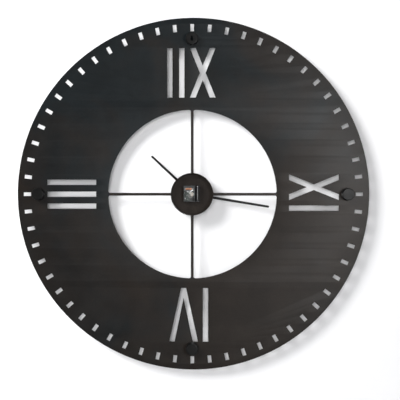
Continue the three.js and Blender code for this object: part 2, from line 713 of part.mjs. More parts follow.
// A low dome of resin over the chip.
const blob = turned([
  [0, GAP], [CHIP.radius, GAP], [0.9 * CHIP.radius, 0.56 * CHIP.height],
  [0.53 * CHIP.radius, 0.88 * CHIP.height], [0, CHIP.height],
], 16);
place(movement, 'chip', blob, caseBlack).position.set(CHIP.x, BOARD.back, CHIP.z);

// ---------------------------------------------------------------- battery and its contacts
const batteryX = (bay.left + bay.right) / 2;
const batteryY = floorBack + GAP + BATTERY_RADIUS;
const positiveContact = bay.top - GAP - CONTACT.thickness;
const negativeContact = bay.bottom + GAP;
const batteryTop = positiveContact - GAP;

// The cell stands on its flat end and its nub is on top.
const nub = { radius: 2.75, height: 1.4 };
const shoulder = BATTERY_LENGTH - nub.height;
const cell = turned([
  [0, 0], [BATTERY_RADIUS - 0.9, 0], [BATTERY_RADIUS, 0.6], [BATTERY_RADIUS, shoulder - 0.6],
  [BATTERY_RADIUS - 0.7, shoulder], [nub.radius, shoulder], [nub.radius, BATTERY_LENGTH],
  [0, BATTERY_LENGTH],
], 20).rotateX(Math.PI / 2);
place(movement, 'battery', cell, sleeve).position.set(batteryX, batteryY, batteryTop - BATTERY_LENGTH);

const { half: tab, thickness, leafHalf, bow } = CONTACT;
place(movement, 'battery_contact_positive', box(
  batteryX - tab, positiveContact, batteryX + tab, positiveContact + thickness,
  CONTACT.front, CONTACT.back,
), steel);

// A bowed leaf spring on a base strip.
const leaf = [
  [-leafHalf, 0], [leafHalf, 0], [leafHalf, thickness], [0.68 * leafHalf, thickness],
  [0.28 * leafHalf, bow], [-0.28 * leafHalf, bow], [-0.68 * leafHalf, thickness], [-leafHalf, thickness],
].map(([x, z]) => point(batteryX + x, negativeContact + z));
place(movement, 'battery_contact_negative', sheet(leaf, [], CONTACT.front, CONTACT.leafBack), steel);

// ---------------------------------------------------------------- clamping stack
const hourBore = HOUR_PIPE.radius + PIPE_CLEARANCE;
const minuteBore = MINUTE_PIPE.radius + PIPE_CLEARANCE;
const flangeBack = CASE.front - GAP;
const bushingHole = circle(BUSHING_RADIUS + GAP, PIPE_SEGMENTS);

place(movement, 'threaded_bushing', join(
  tube(BUSHING_RADIUS, hourBore, BUSHING_END, BUSHING_BACK),
  tube(BUSHING_FLANGE_RADIUS, hourBore, GAP, flangeBack),
), brass);

const flangeHole = circle(BUSHING_FLANGE_RADIUS + GAP, 16);
place(movement, 'rubber_washer', sheet(circle(RUBBER_RADIUS, 24), [flangeHole], GAP, flangeBack), rubber);

const washerBack = -CUP_WALL - GAP;
const washerFront = washerBack - WASHER_THICKNESS;
place(movement, 'brass_washer',
  sheet(circle(WASHER_RADIUS, 20), [bushingHole], washerFront, washerBack), brass);

const nutBack = washerFront - GAP;
const hexagon = circle(NUT_ACROSS_FLATS / Math.sqrt(3), 6);
place(movement, 'hex_nut', sheet(hexagon, [bushingHole], nutBack - NUT_THICKNESS, nutBack), brass);

// ---------------------------------------------------------------- hands
// A flat tapered blade with a tail and a round boss, pressed on its pipe by a collet.
function hand(size, bore) {
  const [dx, dz] = size.direction;
  const tailEnd = size.root * 0.8;
  const half = [
    [-size.tail, tailEnd / 2], [0, size.root / 2], [size.tip - size.end / 3, size.end / 2],
    [size.tip, size.end / 6],
  ];
  const outline = [...half, ...half.map(([along, side]) => [along, -side]).reverse()]
    .map(([along, side]) => point(along * dx - side * dz, along * dz + side * dx));
  const back = size.y + HAND_THICKNESS;
  const hole = circle(bore, PIPE_SEGMENTS);
  const blade = sheet(outline, [hole], size.y, back);
  const boss = sheet(circle(size.boss, 20), [hole], size.y, back);
  return join(blade, boss, tube(size.boss * COLLET_SHARE, bore, ...size.collet));
}

place(movement, 'hour_hand', hand(HOUR_HAND, hourBore), handBlack);
place(movement, 'minute_hand', hand(MINUTE_HAND, minuteBore), handBlack);

// A domed cap nut.
const { tip, radius: capRadius } = HAND_NUT;
place(movement, 'hand_nut', turned([
  [0, tip], [0.53 * capRadius, tip + 0.3], [0.9 * capRadius, tip + 1], [capRadius, tip + 1.6],
  [capRadius, HAND_NUT.back], [minuteBore, HAND_NUT.back], [minuteBore, HAND_NUT.floor],
  [0, HAND_NUT.floor],
], PIPE_SEGMENTS), brass);

// ---------------------------------------------------------------- the clock's own frame
const backFace = PLATE + STANDOFF_HEIGHT;
const frontTip = movement.position.y + HAND_NUT.tip;
clock.position.y = -(backFace + frontTip) / 2;

const wallClock = new THREE.Group();
wallClock.add(clock);
export default wallClock;
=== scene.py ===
"""A large open-frame steel wall clock, seen from its back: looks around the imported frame.
Metres, +Z up. The dial faces -Y, the wall and this script's camera are on the +Y side."""
import math

import bmesh
import bpy
from mathutils import Matrix, Vector, noise


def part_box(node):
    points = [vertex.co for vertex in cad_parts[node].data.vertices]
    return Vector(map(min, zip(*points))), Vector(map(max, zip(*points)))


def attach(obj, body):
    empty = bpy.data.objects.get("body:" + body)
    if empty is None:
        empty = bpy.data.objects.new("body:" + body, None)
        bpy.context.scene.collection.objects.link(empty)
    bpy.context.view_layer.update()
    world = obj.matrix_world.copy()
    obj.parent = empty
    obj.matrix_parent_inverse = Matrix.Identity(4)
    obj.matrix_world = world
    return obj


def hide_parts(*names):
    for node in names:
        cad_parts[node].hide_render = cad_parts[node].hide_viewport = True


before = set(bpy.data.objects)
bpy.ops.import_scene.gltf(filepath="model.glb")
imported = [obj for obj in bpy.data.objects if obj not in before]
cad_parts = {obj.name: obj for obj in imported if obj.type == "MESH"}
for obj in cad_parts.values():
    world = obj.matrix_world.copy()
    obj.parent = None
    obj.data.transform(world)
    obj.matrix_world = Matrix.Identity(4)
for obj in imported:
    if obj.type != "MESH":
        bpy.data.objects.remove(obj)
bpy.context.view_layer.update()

MM = 0.001
TAU = 2 * math.pi
FRAME_BODY = "clock_frame"
SAME_POINT = 1e-7  # points closer than this were meant as one point
WELD_DISTANCE = 0.002 * MM  # the same after a cut, and in the CAD solids


# ------------------------ places read from the frame
def centre(node):
    low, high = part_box(node)
    return (low + high) / 2


def size(node):
    low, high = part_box(node)
    return high - low


PLATE_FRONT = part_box("dial_ring")[0].y
PLATE_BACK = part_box("dial_ring")[1].y
RING_RADIUS = size("dial_ring").x / 2
RING_HOLE_RADIUS = 292.1 * MM
CUP_RADIUS = size("hub_cup").x / 2
CUP_FRONT, CUP_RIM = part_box("hub_cup")[0].y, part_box("hub_cup")[1].y
STANDOFF_RADIUS = size("standoff_left").x / 2
STANDOFF_PLACE = centre("standoff_right").x
WALL_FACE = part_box("standoff_left")[1].y
SHEET = 1.5 * MM  # sheet steel of the hub cup and of the standoffs
FLOOR_BACK = CUP_FRONT + SHEET  # inner face of the cup's floor, where the movement sits
SIDES = {"top": math.pi / 2, "right": 0.0, "bottom": -math.pi / 2, "left": math.pi}


# ------------------------ mesh helpers
def new_object(name, mesh):
    obj = bpy.data.objects.new(name, mesh)
    bpy.context.scene.collection.objects.link(obj)
    return obj


def mesh_of(name, points, faces):
    mesh = bpy.data.meshes.new(name)
    mesh.from_pydata([tuple(p) for p in points], [], faces)
    mesh.validate()
    return new_object(name, mesh)


def bake_modifiers(obj):
    """Applies every modifier of obj into its mesh."""
    graph = bpy.context.evaluated_depsgraph_get()
    done = bpy.data.meshes.new_from_object(obj.evaluated_get(graph))
    obj.modifiers.clear()
    obj.data = done
    return obj


def remove(obj):
    bpy.data.objects.remove(obj, do_unlink=True)


def shade(obj, angle=35):
    """Smooth shading, with edges sharper than an angle kept sharp."""
    obj.data.polygons.foreach_set("use_smooth", [True] * len(obj.data.polygons))
    obj.data.set_sharp_from_angle(angle=math.radians(angle))
    return obj


def shift(obj, x, z):
    obj.data.transform(Matrix.Translation((x, 0, z)))


def outward(obj):
    """Turns every face of a closed mesh outward."""
    bm = bmesh.new()
    bm.from_mesh(obj.data)
    bmesh.ops.remove_doubles(bm, verts=bm.verts, dist=SAME_POINT)
    bmesh.ops.recalc_face_normals(bm, faces=bm.faces)
    bm.to_mesh(obj.data)
    bm.free()
    return obj


def lathe(name, profile, segments, closed=False):
    """Turns [radius, y] pairs about the Y axis. An open profile starts and ends on the axis."""
    points, faces, rows = [], [], []
    for radius, y in profile:
        if radius < 1e-9:
            rows.append([len(points)] * segments)
            points.append((0, y, 0))
            continue
        rows.append(list(range(len(points), len(points) + segments)))
        points += [(radius * math.cos(TAU * i / segments), y, radius * math.sin(TAU * i / segments))
                   for i in range(segments)]
    pairs = list(zip(rows, rows[1:])) + ([(rows[-1], rows[0])] if closed else [])
    for a, b in pairs:
        for i in range(segments):
            j = (i + 1) % segments
            corners = [a[i], a[j], b[j], b[i]]
            face = [c for k, c in enumerate(corners) if c not in corners[:k]]
            if len(face) > 2:
                faces.append(face)
    return shade(outward(mesh_of(name, points, faces)))


def arc(cx, cy, radius, start, end, steps):
    """Points of an arc, in degrees, ends included."""
    return [(cx + radius * math.cos(math.radians(start + (end - start) * i / steps)),
             cy + radius * math.sin(math.radians(start + (end - start) * i / steps)))
            for i in range(steps + 1)]


def cut_plate(name, loops, front, back, bevel):
    """A flat piece from closed loops of (x, z), outside first, with rounded edges of radius bevel."""
    curve = bpy.data.curves.new(name, "CURVE")
    curve.dimensions = "2D"
    curve.fill_mode = "BOTH"
    curve.extrude = (back - front) / 2 - bevel
    curve.bevel_depth = bevel
    curve.bevel_resolution = 2
    curve.offset = -bevel
    for loop in loops:
        spline = curve.splines.new("POLY")
        spline.points.add(len(loop) - 1)
        spline.use_cyclic_u = True
        for p, (x, z) in zip(spline.points, loop):
            p.co = (x, z, 0, 1)
    source = new_object(name + "_outline", curve)
    graph = bpy.context.evaluated_depsgraph_get()
    mesh = bpy.data.meshes.new_from_object(source.evaluated_get(graph))
    remove(source)
    # (x, z, depth) of the curve becomes (x, y, z) of the frame, with depth along -Y
    middle = Matrix.Translation((0, (front + back) / 2, 0))
    mesh.transform(middle @ Matrix.Rotation(math.pi / 2, 4, "X"))
    return shade(outward(new_object(name, mesh)), 40)


def circle(radius, segments):
    return [(radius * math.cos(TAU * i / segments), radius * math.sin(TAU * i / segments))
            for i in range(segments)]


def rectangle(low, high, inset=0.0):
    """The outline of a box seen along Y, drawn in on every side by inset."""
    left, right, bottom, top = low.x + inset, high.x - inset, low.z + inset, high.z - inset
    return [(left, bottom), (right, bottom), (right, top), (left, top)]


def boolean(obj, other, operation):
    """Cuts obj with other, which is used up, and welds the slivers that the cut leaves."""
    change = obj.modifiers.new("change", "BOOLEAN")
    change.operation = operation
    change.object = other
    change.solver = "EXACT"
    bake_modifiers(obj)
    remove(other)
    bm = bmesh.new()
    bm.from_mesh(obj.data)
    bmesh.ops.remove_doubles(bm, verts=bm.verts, dist=WELD_DISTANCE)
    bmesh.ops.dissolve_degenerate(bm, edges=bm.edges, dist=WELD_DISTANCE)
    bm.to_mesh(obj.data)
    bm.free()
    return obj


def refined(node, name, bevel, angle=35):
    """A copy of a CAD node's own solid with merged flat faces and rounded edges."""
    obj = new_object(name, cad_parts[node].data.copy())
    obj.data.materials.clear()
    bm = bmesh.new()
    bm.from_mesh(obj.data)
    bmesh.ops.remove_doubles(bm, verts=bm.verts, dist=WELD_DISTANCE)
    bmesh.ops.dissolve_limit(bm, angle_limit=math.radians(1), verts=bm.verts, edges=bm.edges)
    bm.to_mesh(obj.data)
    bm.free()
    if bevel:
        edge = obj.modifiers.new("edge", "BEVEL")
        edge.width = bevel
        edge.segments = 2
        edge.limit_method = "ANGLE"
        edge.angle_limit = math.radians(angle)
        edge.use_clamp_overlap = True
        bake_modifiers(obj)
    return shade(obj, angle)


def stands_for(obj, material, slot, *nodes, body=FRAME_BODY):
    """obj is a finished piece: its material, the CAD body it rides on and the CAD nodes it replaces."""
    obj.data.materials.clear()
    obj.data.materials.append(material)
    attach(obj, body)
    if nodes:
        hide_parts(*nodes)
    return obj


# ------------------------ material helpers
class Nodes:
    """A material's node tree with short calls for the nodes the finishes share."""

    def __init__(self, name):
        self.material = bpy.data.materials.new(name)
        self.material.use_nodes = True
        self.tree = self.material.node_tree
        self.tree.nodes.clear()
        self.out = self.add("ShaderNodeOutputMaterial")
        self.shader = self.add("ShaderNodeBsdfPrincipled")
        self.link(self.shader.outputs[0], self.out.inputs["Surface"])
        self.place = self.add("ShaderNodeTexCoord").outputs["Object"]

    def add(self, kind, **settings):
        node = self.tree.nodes.new(kind)
        for key, value in settings.items():
            setattr(node, key, value)
        return node

    def link(self, a, b):
        self.tree.links.new(a, b)

    def fill(self, socket, value):
        """Links a socket to another one, or sets it to a number or a colour."""
        if isinstance(value, bpy.types.NodeSocket):
            self.link(value, socket)
        else:
            socket.default_value = (*value, 1) if isinstance(value, tuple) else value

    def set(self, **values):
        """Sets the shader's own sockets; underscores stand for spaces."""
        for key, value in values.items():
            self.fill(self.shader.inputs[key.replace("_", " ")], value)

    def scaled(self, scale):
        mapping = self.add("ShaderNodeMapping")
        mapping.inputs["Scale"].default_value = scale
        self.link(self.place, mapping.inputs["Vector"])
        return mapping.outputs[0]

    def noise(self, scale, detail=4.0, roughness=0.55, distortion=0.0, vector=None):
        node = self.add("ShaderNodeTexNoise")
        for key, value in (("Scale", scale), ("Detail", detail), ("Roughness", roughness),
                           ("Distortion", distortion)):
            node.inputs[key].default_value = value
        self.link(vector or self.place, node.inputs["Vector"])
        return node.outputs["Fac"]

    def ramp(self, fac, *stops):
        """stops are (position, colour) with a colour of 1 or 3 numbers."""
        node = self.add("ShaderNodeValToRGB")
        elements = node.color_ramp.elements
        while len(elements) < len(stops):
            elements.new(0.5)
        for element, (position, colour) in zip(elements, stops):
            element.position = position
            element.color = (*colour, 1) if isinstance(colour, tuple) else (colour, colour, colour, 1)
        self.link(fac, node.inputs["Fac"])
        return node.outputs["Color"]

    def mix(self, fac, a, b, blend="MIX"):
        node = self.add("ShaderNodeMix", data_type="RGBA", blend_type=blend)
        for index, value in ((0, fac), (6, a), (7, b)):
            self.fill(node.inputs[index], value)
        return node.outputs[2]

    def math(self, operation, a, b=0.0, clamp=False):
        node = self.add("ShaderNodeMath", operation=operation, use_clamp=clamp)
        self.fill(node.inputs[0], a)
        self.fill(node.inputs[1], b)
        return node.outputs[0]

    def bump(self, height, strength, distance):
        node = self.add("ShaderNodeBump")
        node.inputs["Strength"].default_value = strength
        node.inputs["Distance"].default_value = distance
        self.link(height, node.inputs["Height"])
        self.link(node.outputs[0], self.shader.inputs["Normal"])

    def feed(self, name, value):
        self.link(value, self.shader.inputs[name])

    def radius_from_axis(self):
        """Distance from the hands' axis, in metres."""
        flat = self.add("ShaderNodeVectorMath", operation="MULTIPLY")
        flat.inputs[1].default_value = (1, 0, 1)
        self.link(self.place, flat.inputs[0])
        length = self.add("ShaderNodeVectorMath", operation="LENGTH")
        self.link(flat.outputs[0], length.inputs[0])
        return length.outputs["Value"]


# ------------------------ finishes
HEAT_FADE = 60  # the welds' heat tint fades over 1/60 m


def patinated_steel():
    """Dark oxidised sheet steel: blue-black patina towards XII and III, brown elsewhere, fine pitting."""
    n = Nodes("patinated_steel")
    clouds = n.noise(2.6, 6, 0.6, 0.6)
    blotches = n.noise(11, 5, 0.65, 0.3)
    grain = n.noise(420, 3, 0.6)
    rolled = n.noise(60, 3, 0.5, vector=n.scaled((0.06, 1, 4)))
    across = n.add("ShaderNodeVectorMath", operation="DOT_PRODUCT")
    across.inputs[1].default_value = (0.17, 0, 0.2)
    n.link(n.place, across.inputs[0])
    browner = n.math("SUBTRACT", clouds, across.outputs["Value"])
    tone = n.ramp(browner, (0.36, (0.009, 0.0118, 0.0132)), (0.48, (0.0136, 0.0124, 0.0116)),
                  (0.62, (0.0172, 0.0132, 0.0106)))
    tone = n.mix(0.55, tone, n.ramp(blotches, (0.35, 0.65), (0.65, 1.3)), "MULTIPLY")
    tone = n.mix(0.05, tone, n.ramp(rolled, (0.4, 0.6), (0.6, 1.3)), "MULTIPLY")
    tone = n.mix(0.25, tone, n.ramp(grain, (0.42, 0.5), (0.62, 1.5)), "MULTIPLY")
    n.feed("Base Color", tone)
    n.set(Metallic=0.2, Specular_IOR_Level=0.45)
    wear = n.math("MULTIPLY", blotches, 0.22)
    n.feed("Roughness", n.ramp(n.math("ADD", clouds, wear), (0.35, 0.44), (0.85, 0.58)))
    n.bump(n.math("ADD", n.math("MULTIPLY", rolled, 0.08), grain), 0.2, 0.12 * MM)
    return n.material


def cut_edge():
    """The laser-cut edge of the plate: bare darkened steel with fine upright striations."""
    n = Nodes("cut_edge")
    lines = n.noise(900, 2, 0.5, vector=n.scaled((1, 0.05, 1)))
    n.feed("Base Color", n.ramp(lines, (0.35, (0.03, 0.03, 0.032)), (0.65, (0.085, 0.083, 0.082))))
    n.set(Metallic=0.85, Roughness=0.42)
    n.bump(lines, 0.4, 0.1 * MM)
    return n.material


def mild_steel(name, shine):
    """Spokes and hub cup: brownish oxidised bar and sheet, with a straw and blue tint by the welds. shine
    sets the sheen; the cup's copy has less of it, which paints shade on the cup.
    """
    n = Nodes(name)
    clouds = n.noise(18, 6, 0.6, 0.5)
    grain = n.noise(600, 3, 0.6)
    drawn = n.noise(140, 3, 0.5)
    tone = n.ramp(clouds, (0.3, (0.018, 0.0145, 0.0125)), (0.55, (0.027, 0.022, 0.019)),
                  (0.75, (0.038, 0.03, 0.024)))
    tone = n.mix(0.4, tone, n.ramp(grain, (0.4, 0.5), (0.65, 1.5)), "MULTIPLY")
    from_ring = n.math("SUBTRACT", RING_HOLE_RADIUS, n.radius_from_axis())
    near_ring = n.math("SUBTRACT", 1.0, n.math("MULTIPLY", from_ring, HEAT_FADE), True)
    tint = n.ramp(near_ring, (0.0, (1, 1, 1)), (0.35, (1.35, 1.05, 0.7)), (0.7, (0.75, 0.85, 1.35)),
                  (1.0, (0.8, 0.75, 0.75)))
    n.feed("Base Color", n.mix(0.7, tone, tint, "MULTIPLY"))
    n.set(Metallic=0.4, Specular_IOR_Level=shine)
    n.feed("Roughness", n.ramp(clouds, (0.3, 0.42), (0.7, 0.58)))
    n.bump(n.math("ADD", n.math("MULTIPLY", drawn, 0.6), grain), 0.3, 0.12 * MM)
    return n.material


def weld_metal():
    """Weld beads: dark scaly metal with blue-grey and brown heat colours."""
    n = Nodes("weld_metal")
    scale = n.noise(700, 4, 0.65)
    heat = n.noise(160, 3, 0.5)
    n.feed("Base Color", n.ramp(heat, (0.3, (0.03, 0.034, 0.05)), (0.55, (0.05, 0.044, 0.042)),
                                (0.75, (0.08, 0.055, 0.03))))
    n.set(Metallic=0.7)
    n.feed("Roughness", n.ramp(scale, (0.35, 0.35), (0.7, 0.65)))
    n.bump(scale, 0.5, 0.3 * MM)
    return n.material


def powder_black(name, low, high, roughness):
    """Satin black powder coat with a fine orange peel."""
    n = Nodes(name)
    peel = n.noise(1100, 2, 0.4)
    haze = n.noise(45, 5, 0.6)
    n.feed("Base Color", n.ramp(haze, (0.35, (low, low, low * 0.97)), (0.7, (high, high, high * 0.96))))
    n.set(Metallic=0.0, Specular_IOR_Level=0.35)
    n.feed("Roughness", n.ramp(haze, (0.3, roughness - 0.06), (0.7, roughness + 0.08)))
    n.bump(peel, 0.18, 0.08 * MM)
    return n.material


def moulded(name, low, high, roughness, texture=1500.0, depth=0.05 * MM, subsurface=0.0):
    """Injection-moulded plastic: an even colour with slight flow marks and a spark-eroded texture."""
    n = Nodes(name)
    flow = n.noise(90, 4, 0.55, 1.2)
    eroded = n.noise(texture, 2, 0.5)
    n.feed("Base Color", n.ramp(flow, (0.35, low), (0.7, high)))
    n.set(Specular_IOR_Level=0.5, Subsurface_Weight=subsurface, Subsurface_Scale=0.001)
    n.feed("Roughness", n.ramp(flow, (0.3, roughness - 0.05), (0.7, roughness + 0.07)))
    n.bump(eroded, 0.3, depth)
    return n.material


def clear_plastic():
    """The gear cover: clear styrene, mostly see-through, with faint haze and scuffs."""
    n = Nodes("clear_plastic")
    haze = n.noise(120, 5, 0.6, 0.8)
    scuffs = n.noise(500, 2, 0.5, vector=n.scaled((1, 1, 0.08)))
    n.set(Base_Color=(0.7, 0.74, 0.74), Specular_IOR_Level=0.5, IOR=1.5)
    n.feed("Roughness", n.ramp(haze, (0.35, 0.04), (0.7, 0.14)))
    n.feed("Alpha", n.ramp(n.math("MULTIPLY", haze, scuffs), (0.15, 0.02), (0.45, 0.06)))
    n.bump(haze, 0.1, 0.1 * MM)
    return n.material


def turned_metal(name, low, high, roughness, rings=2600.0):
    """Machined metal with fine turning marks and a little tarnish."""
    n = Nodes(name)
    tarnish = n.noise(220, 5, 0.6, 0.4)
    wave = n.add("ShaderNodeTexWave", wave_type="BANDS", bands_direction="Y")
    wave.inputs["Scale"].default_value = rings
    wave.inputs["Distortion"].default_value = 1.5
    n.link(n.place, wave.inputs["Vector"])
    n.feed("Base Color", n.ramp(tarnish, (0.3, low), (0.65, high)))
    n.set(Metallic=1.0)
    n.feed("Roughness", n.ramp(tarnish, (0.3, roughness + 0.12), (0.7, roughness)))
    n.bump(wave.outputs["Fac"], 0.15, 0.02 * MM)
    return n.material


def copper_wire():
    """Enamelled copper wire: warm metal under a thin clear coat."""
    n = Nodes("copper_wire")
    patchy = n.noise(300, 4, 0.6, vector=n.scaled((3, 1, 1)))
    n.feed("Base Color", n.ramp(patchy, (0.3, (0.62, 0.21, 0.085)), (0.7, (0.95, 0.47, 0.24))))
    n.set(Metallic=0.55, Coat_Weight=0.6, Coat_Roughness=0.12)
    n.feed("Roughness", n.ramp(patchy, (0.3, 0.34), (0.7, 0.24)))
    n.bump(patchy, 0.2, 0.03 * MM)
    return n.material


def circuit_green():
    """Solder mask over copper tracks: a brick pattern of slightly raised, lighter paths."""
    n = Nodes("circuit_green")
    tracks = n.add("ShaderNodeTexBrick")
    sizes = {"Scale": 260.0, "Mortar Size": 0.03, "Brick Width": 1.4, "Row Height": 0.5}
    for key, value in sizes.items():
        tracks.inputs[key].default_value = value
    tracks.inputs["Color1"].default_value = (0.010, 0.020, 0.013, 1)
    tracks.inputs["Color2"].default_value = (0.012, 0.025, 0.016, 1)
    tracks.inputs["Mortar"].default_value = (0.022, 0.05, 0.028, 1)
    turned = n.add("ShaderNodeMapping")
    turned.inputs["Rotation"].default_value = (math.pi / 2, 0, 0)
    n.link(n.place, turned.inputs["Vector"])
    n.link(turned.outputs[0], tracks.inputs["Vector"])
    speckle = n.noise(900, 3, 0.5)
    dust = n.ramp(speckle, (0.4, 0.6), (0.6, 1.3))
    n.feed("Base Color", n.mix(0.3, tracks.outputs["Color"], dust, "MULTIPLY"))
    n.set(Roughness=0.35, Coat_Weight=0.4, Coat_Roughness=0.2)
    n.bump(tracks.outputs["Fac"], 0.4, 0.04 * MM)
    return n.material


def black_rubber():
    n = Nodes("black_rubber")
    bloom = n.noise(260, 5, 0.65)
    n.feed("Base Color", n.ramp(bloom, (0.35, (0.009, 0.009, 0.009)), (0.75, (0.026, 0.025, 0.024))))
    n.set(Specular_IOR_Level=0.35)
    n.feed("Roughness", n.ramp(bloom, (0.3, 0.72), (0.7, 0.88)))
    n.bump(bloom, 0.35, 0.08 * MM)
    return n.material


def battery_sleeve():
    """A plain shrink sleeve: charcoal film with a slight orange peel and a paler rubbed haze."""
    n = Nodes("battery_sleeve")
    film = n.noise(400, 3, 0.5)
    rubbed = n.noise(130, 5, 0.65, 0.5, n.scaled((1, 1, 0.35)))
    tone = n.ramp(rubbed, (0.4, (0.0075, 0.0078, 0.0085)), (0.75, (0.02, 0.021, 0.023)))
    n.feed("Base Color", tone)
    n.set(Metallic=0.2, Coat_Weight=0.5, Coat_Roughness=0.15)
    n.feed("Roughness", n.ramp(film, (0.3, 0.3), (0.7, 0.42)))
    n.bump(film, 0.1, 0.03 * MM)
    return n.material


DIAL = patinated_steel()
EDGE = cut_edge()
BAR_STEEL = mild_steel("bar_steel", 0.55)
# the hub cup's copy of the bar steel has less sheen than the spokes: painted shade on the cup
SHADED_CUP_STEEL = mild_steel("cup_steel_painted_shade", 0.22)
WELD = weld_metal()
STANDOFF = powder_black("standoff_coat", 0.004, 0.007, 0.5)
HAND = powder_black("hand_coat", 0.0015, 0.003, 0.5)
CASE = moulded("case_plastic", (0.009, 0.009, 0.0095), (0.014, 0.014, 0.0145), 0.48)
CLEAR = clear_plastic()
WHITE = moulded("gear_plastic", (0.40, 0.385, 0.34), (0.52, 0.505, 0.455), 0.38, 900, 0.02 * MM, 0.15)
GREY = moulded("gear_plastic_grey", (0.075, 0.074, 0.07), (0.11, 0.108, 0.1), 0.38, 900, 0.02 * MM, 0.1)
BRASS = turned_metal("brass", (0.34, 0.2, 0.07), (0.68, 0.46, 0.19), 0.24)
BRIGHT = turned_metal("bright_steel", (0.33, 0.33, 0.34), (0.56, 0.56, 0.57), 0.26, 1800)
MAGNET = turned_metal("magnet", (0.05, 0.05, 0.053), (0.11, 0.11, 0.115), 0.4)
COPPER = copper_wire()
BOARD = circuit_green()
RESIN = moulded("chip_resin", (0.006, 0.006, 0.0065), (0.011, 0.011, 0.012), 0.22, 700, 0.02 * MM)
RUBBER = black_rubber()
SLEEVE = battery_sleeve()


# ------------------------ dial ring
SLOTS, SLOT_RADIUS, SLOT_LENGTH, SLOT_WIDTH = 60, 575.8 * MM, 25.4 * MM, 12.7 * MM
STROKE, NUMERAL_RADIUS, NUMERAL_HEIGHT = 18.4 * MM, 420 * MM, 171 * MM
X_LEAN, X_ARM = 34.5 * MM, 20 * MM
V_HALF_WIDTH, V_FOOT, V_CROTCH = 50 * MM, 17.2 * MM, 360.5 * MM
VI_RADIUS, VI_HEIGHT = 419 * MM, 187 * MM
UP = {12: (0, 1), 3: (1, 0), 6: (0, -1), 9: (-1, 0)}
LASER_EDGE = 0.25 * MM
FLAT_FACE = 0.95  # a face whose normal is this close to Y is the sheet's own surface


def stroke_i(across, radius, height):
    half, low, high = STROKE / 2, radius - height / 2, radius + height / 2
    return [(across - half, low), (across + half, low), (across + half, high), (across - half, high)]


def stroke_x(across, radius, height):
    h, w = height / 2, X_ARM / 2
    notch = h * w / X_LEAN
    right = [(X_LEAN - w, h), (X_LEAN + w, h), (w, 0), (X_LEAN + w, -h), (X_LEAN - w, -h)]
    left = [(-a, r) for a, r in reversed(right)]
    return [(a + across, r + radius) for a, r in [*right, (0, -notch), *left, (0, notch)]]


def stroke_v(across, radius, height):
    low, high, inner = radius - height / 2, radius + height / 2, V_HALF_WIDTH - STROKE
    points = [(-V_HALF_WIDTH, high), (-V_FOOT / 2, low), (V_FOOT / 2, low), (V_HALF_WIDTH, high),
              (inner, high), (0, V_CROTCH), (-inner, high)]
    return [(a + across, r) for a, r in points]


def numeral(hour, glyphs, radius=NUMERAL_RADIUS, height=NUMERAL_HEIGHT):
    ux, uz = UP[hour]
    return [[(ux * r + uz * a, uz * r - ux * a) for a, r in stroke(across * MM, radius, height)]
            for stroke, across in glyphs]


def minute_slot(index):
    angle = TAU * index / SLOTS
    c, s = math.cos(angle), math.sin(angle)
    low, high, half = SLOT_RADIUS - SLOT_LENGTH / 2, SLOT_RADIUS + SLOT_LENGTH / 2, SLOT_WIDTH / 2
    corners = [(low, -half), (high, -half), (high, half), (low, half)]
    return [(c * x - s * z, s * x + c * z) for x, z in corners]


def dial_ring():
    loops = [circle(RING_RADIUS, 360), circle(RING_HOLE_RADIUS, 240)]
    loops += [minute_slot(i) for i in range(SLOTS)]
    loops += numeral(12, [(stroke_x, -36.5), (stroke_i, 36), (stroke_i, 77.5)])
    loops += numeral(3, [(stroke_i, -41.5), (stroke_i, 0), (stroke_i, 41.5)])
    loops += numeral(6, [(stroke_v, -30), (stroke_i, 46)], VI_RADIUS, VI_HEIGHT)
    loops += numeral(9, [(stroke_i, -48), (stroke_x, 24.5)])
    ring = cut_plate("dial_ring_plate", loops, PLATE_FRONT, PLATE_BACK, LASER_EDGE)
    stands_for(ring, DIAL, "dial_steel", "dial_ring")
    ring.data.materials.append(EDGE)
    for face in ring.data.polygons:
        face.material_index = 0 if abs(face.normal.y) > FLAT_FACE else 1
    return ring


dial_ring()


# ------------------------ spokes and their welds
BAR_HALF, BAR_FLARE, BAR_EDGE = 4.75 * MM, 5 * MM, 0.35 * MM
CUP_GAP, RING_GAP = 0.3 * MM, 0.6 * MM
RIPPLE = 1.6 * MM  # from one ripple of a weld to the next


def bead(name, at, along, length, radius):
    """A lumpy weld bead, closed at both ends, centred at a point and lying along a direction."""
    steps, sides = 26, 14
    points, faces = [], []
    for i in range(steps + 1):
        t = i / steps
        envelope = math.sqrt(max(0.0, 1 - (2 * t - 1) ** 4))
        ripple = 1 + 0.1 * math.sin(TAU * t * length / RIPPLE)
        for k in range(sides):
            a = TAU * k / sides
            lump = 1 + 0.12 * noise.noise(Vector((math.cos(a) * 2, math.sin(a) * 2, t * 6 + at[0] * 90)))
            r = max(radius * envelope * ripple * lump, 1e-6)
            points.append((r * math.cos(a), r * math.sin(a), (t - 0.5) * length))
    for i in range(steps):
        for k in range(sides):
            j = (k + 1) % sides
            faces.append((i * sides + k, i * sides + j, (i + 1) * sides + j, (i + 1) * sides + k))
    faces.append(tuple(reversed(range(sides))))
    faces.append(tuple(range(steps * sides, (steps + 1) * sides)))
    obj = mesh_of(name, points, faces)
    turn = Vector(along).to_track_quat("Z", "Y").to_matrix().to_4x4()
    obj.data.transform(Matrix.Translation(at) @ turn)
    return shade(outward(obj), 60)


def fillet(share, width):
    """How far a quarter-round flare of a width stands out at a share of its run."""
    return width * (1 - math.sqrt(1 - share * share))


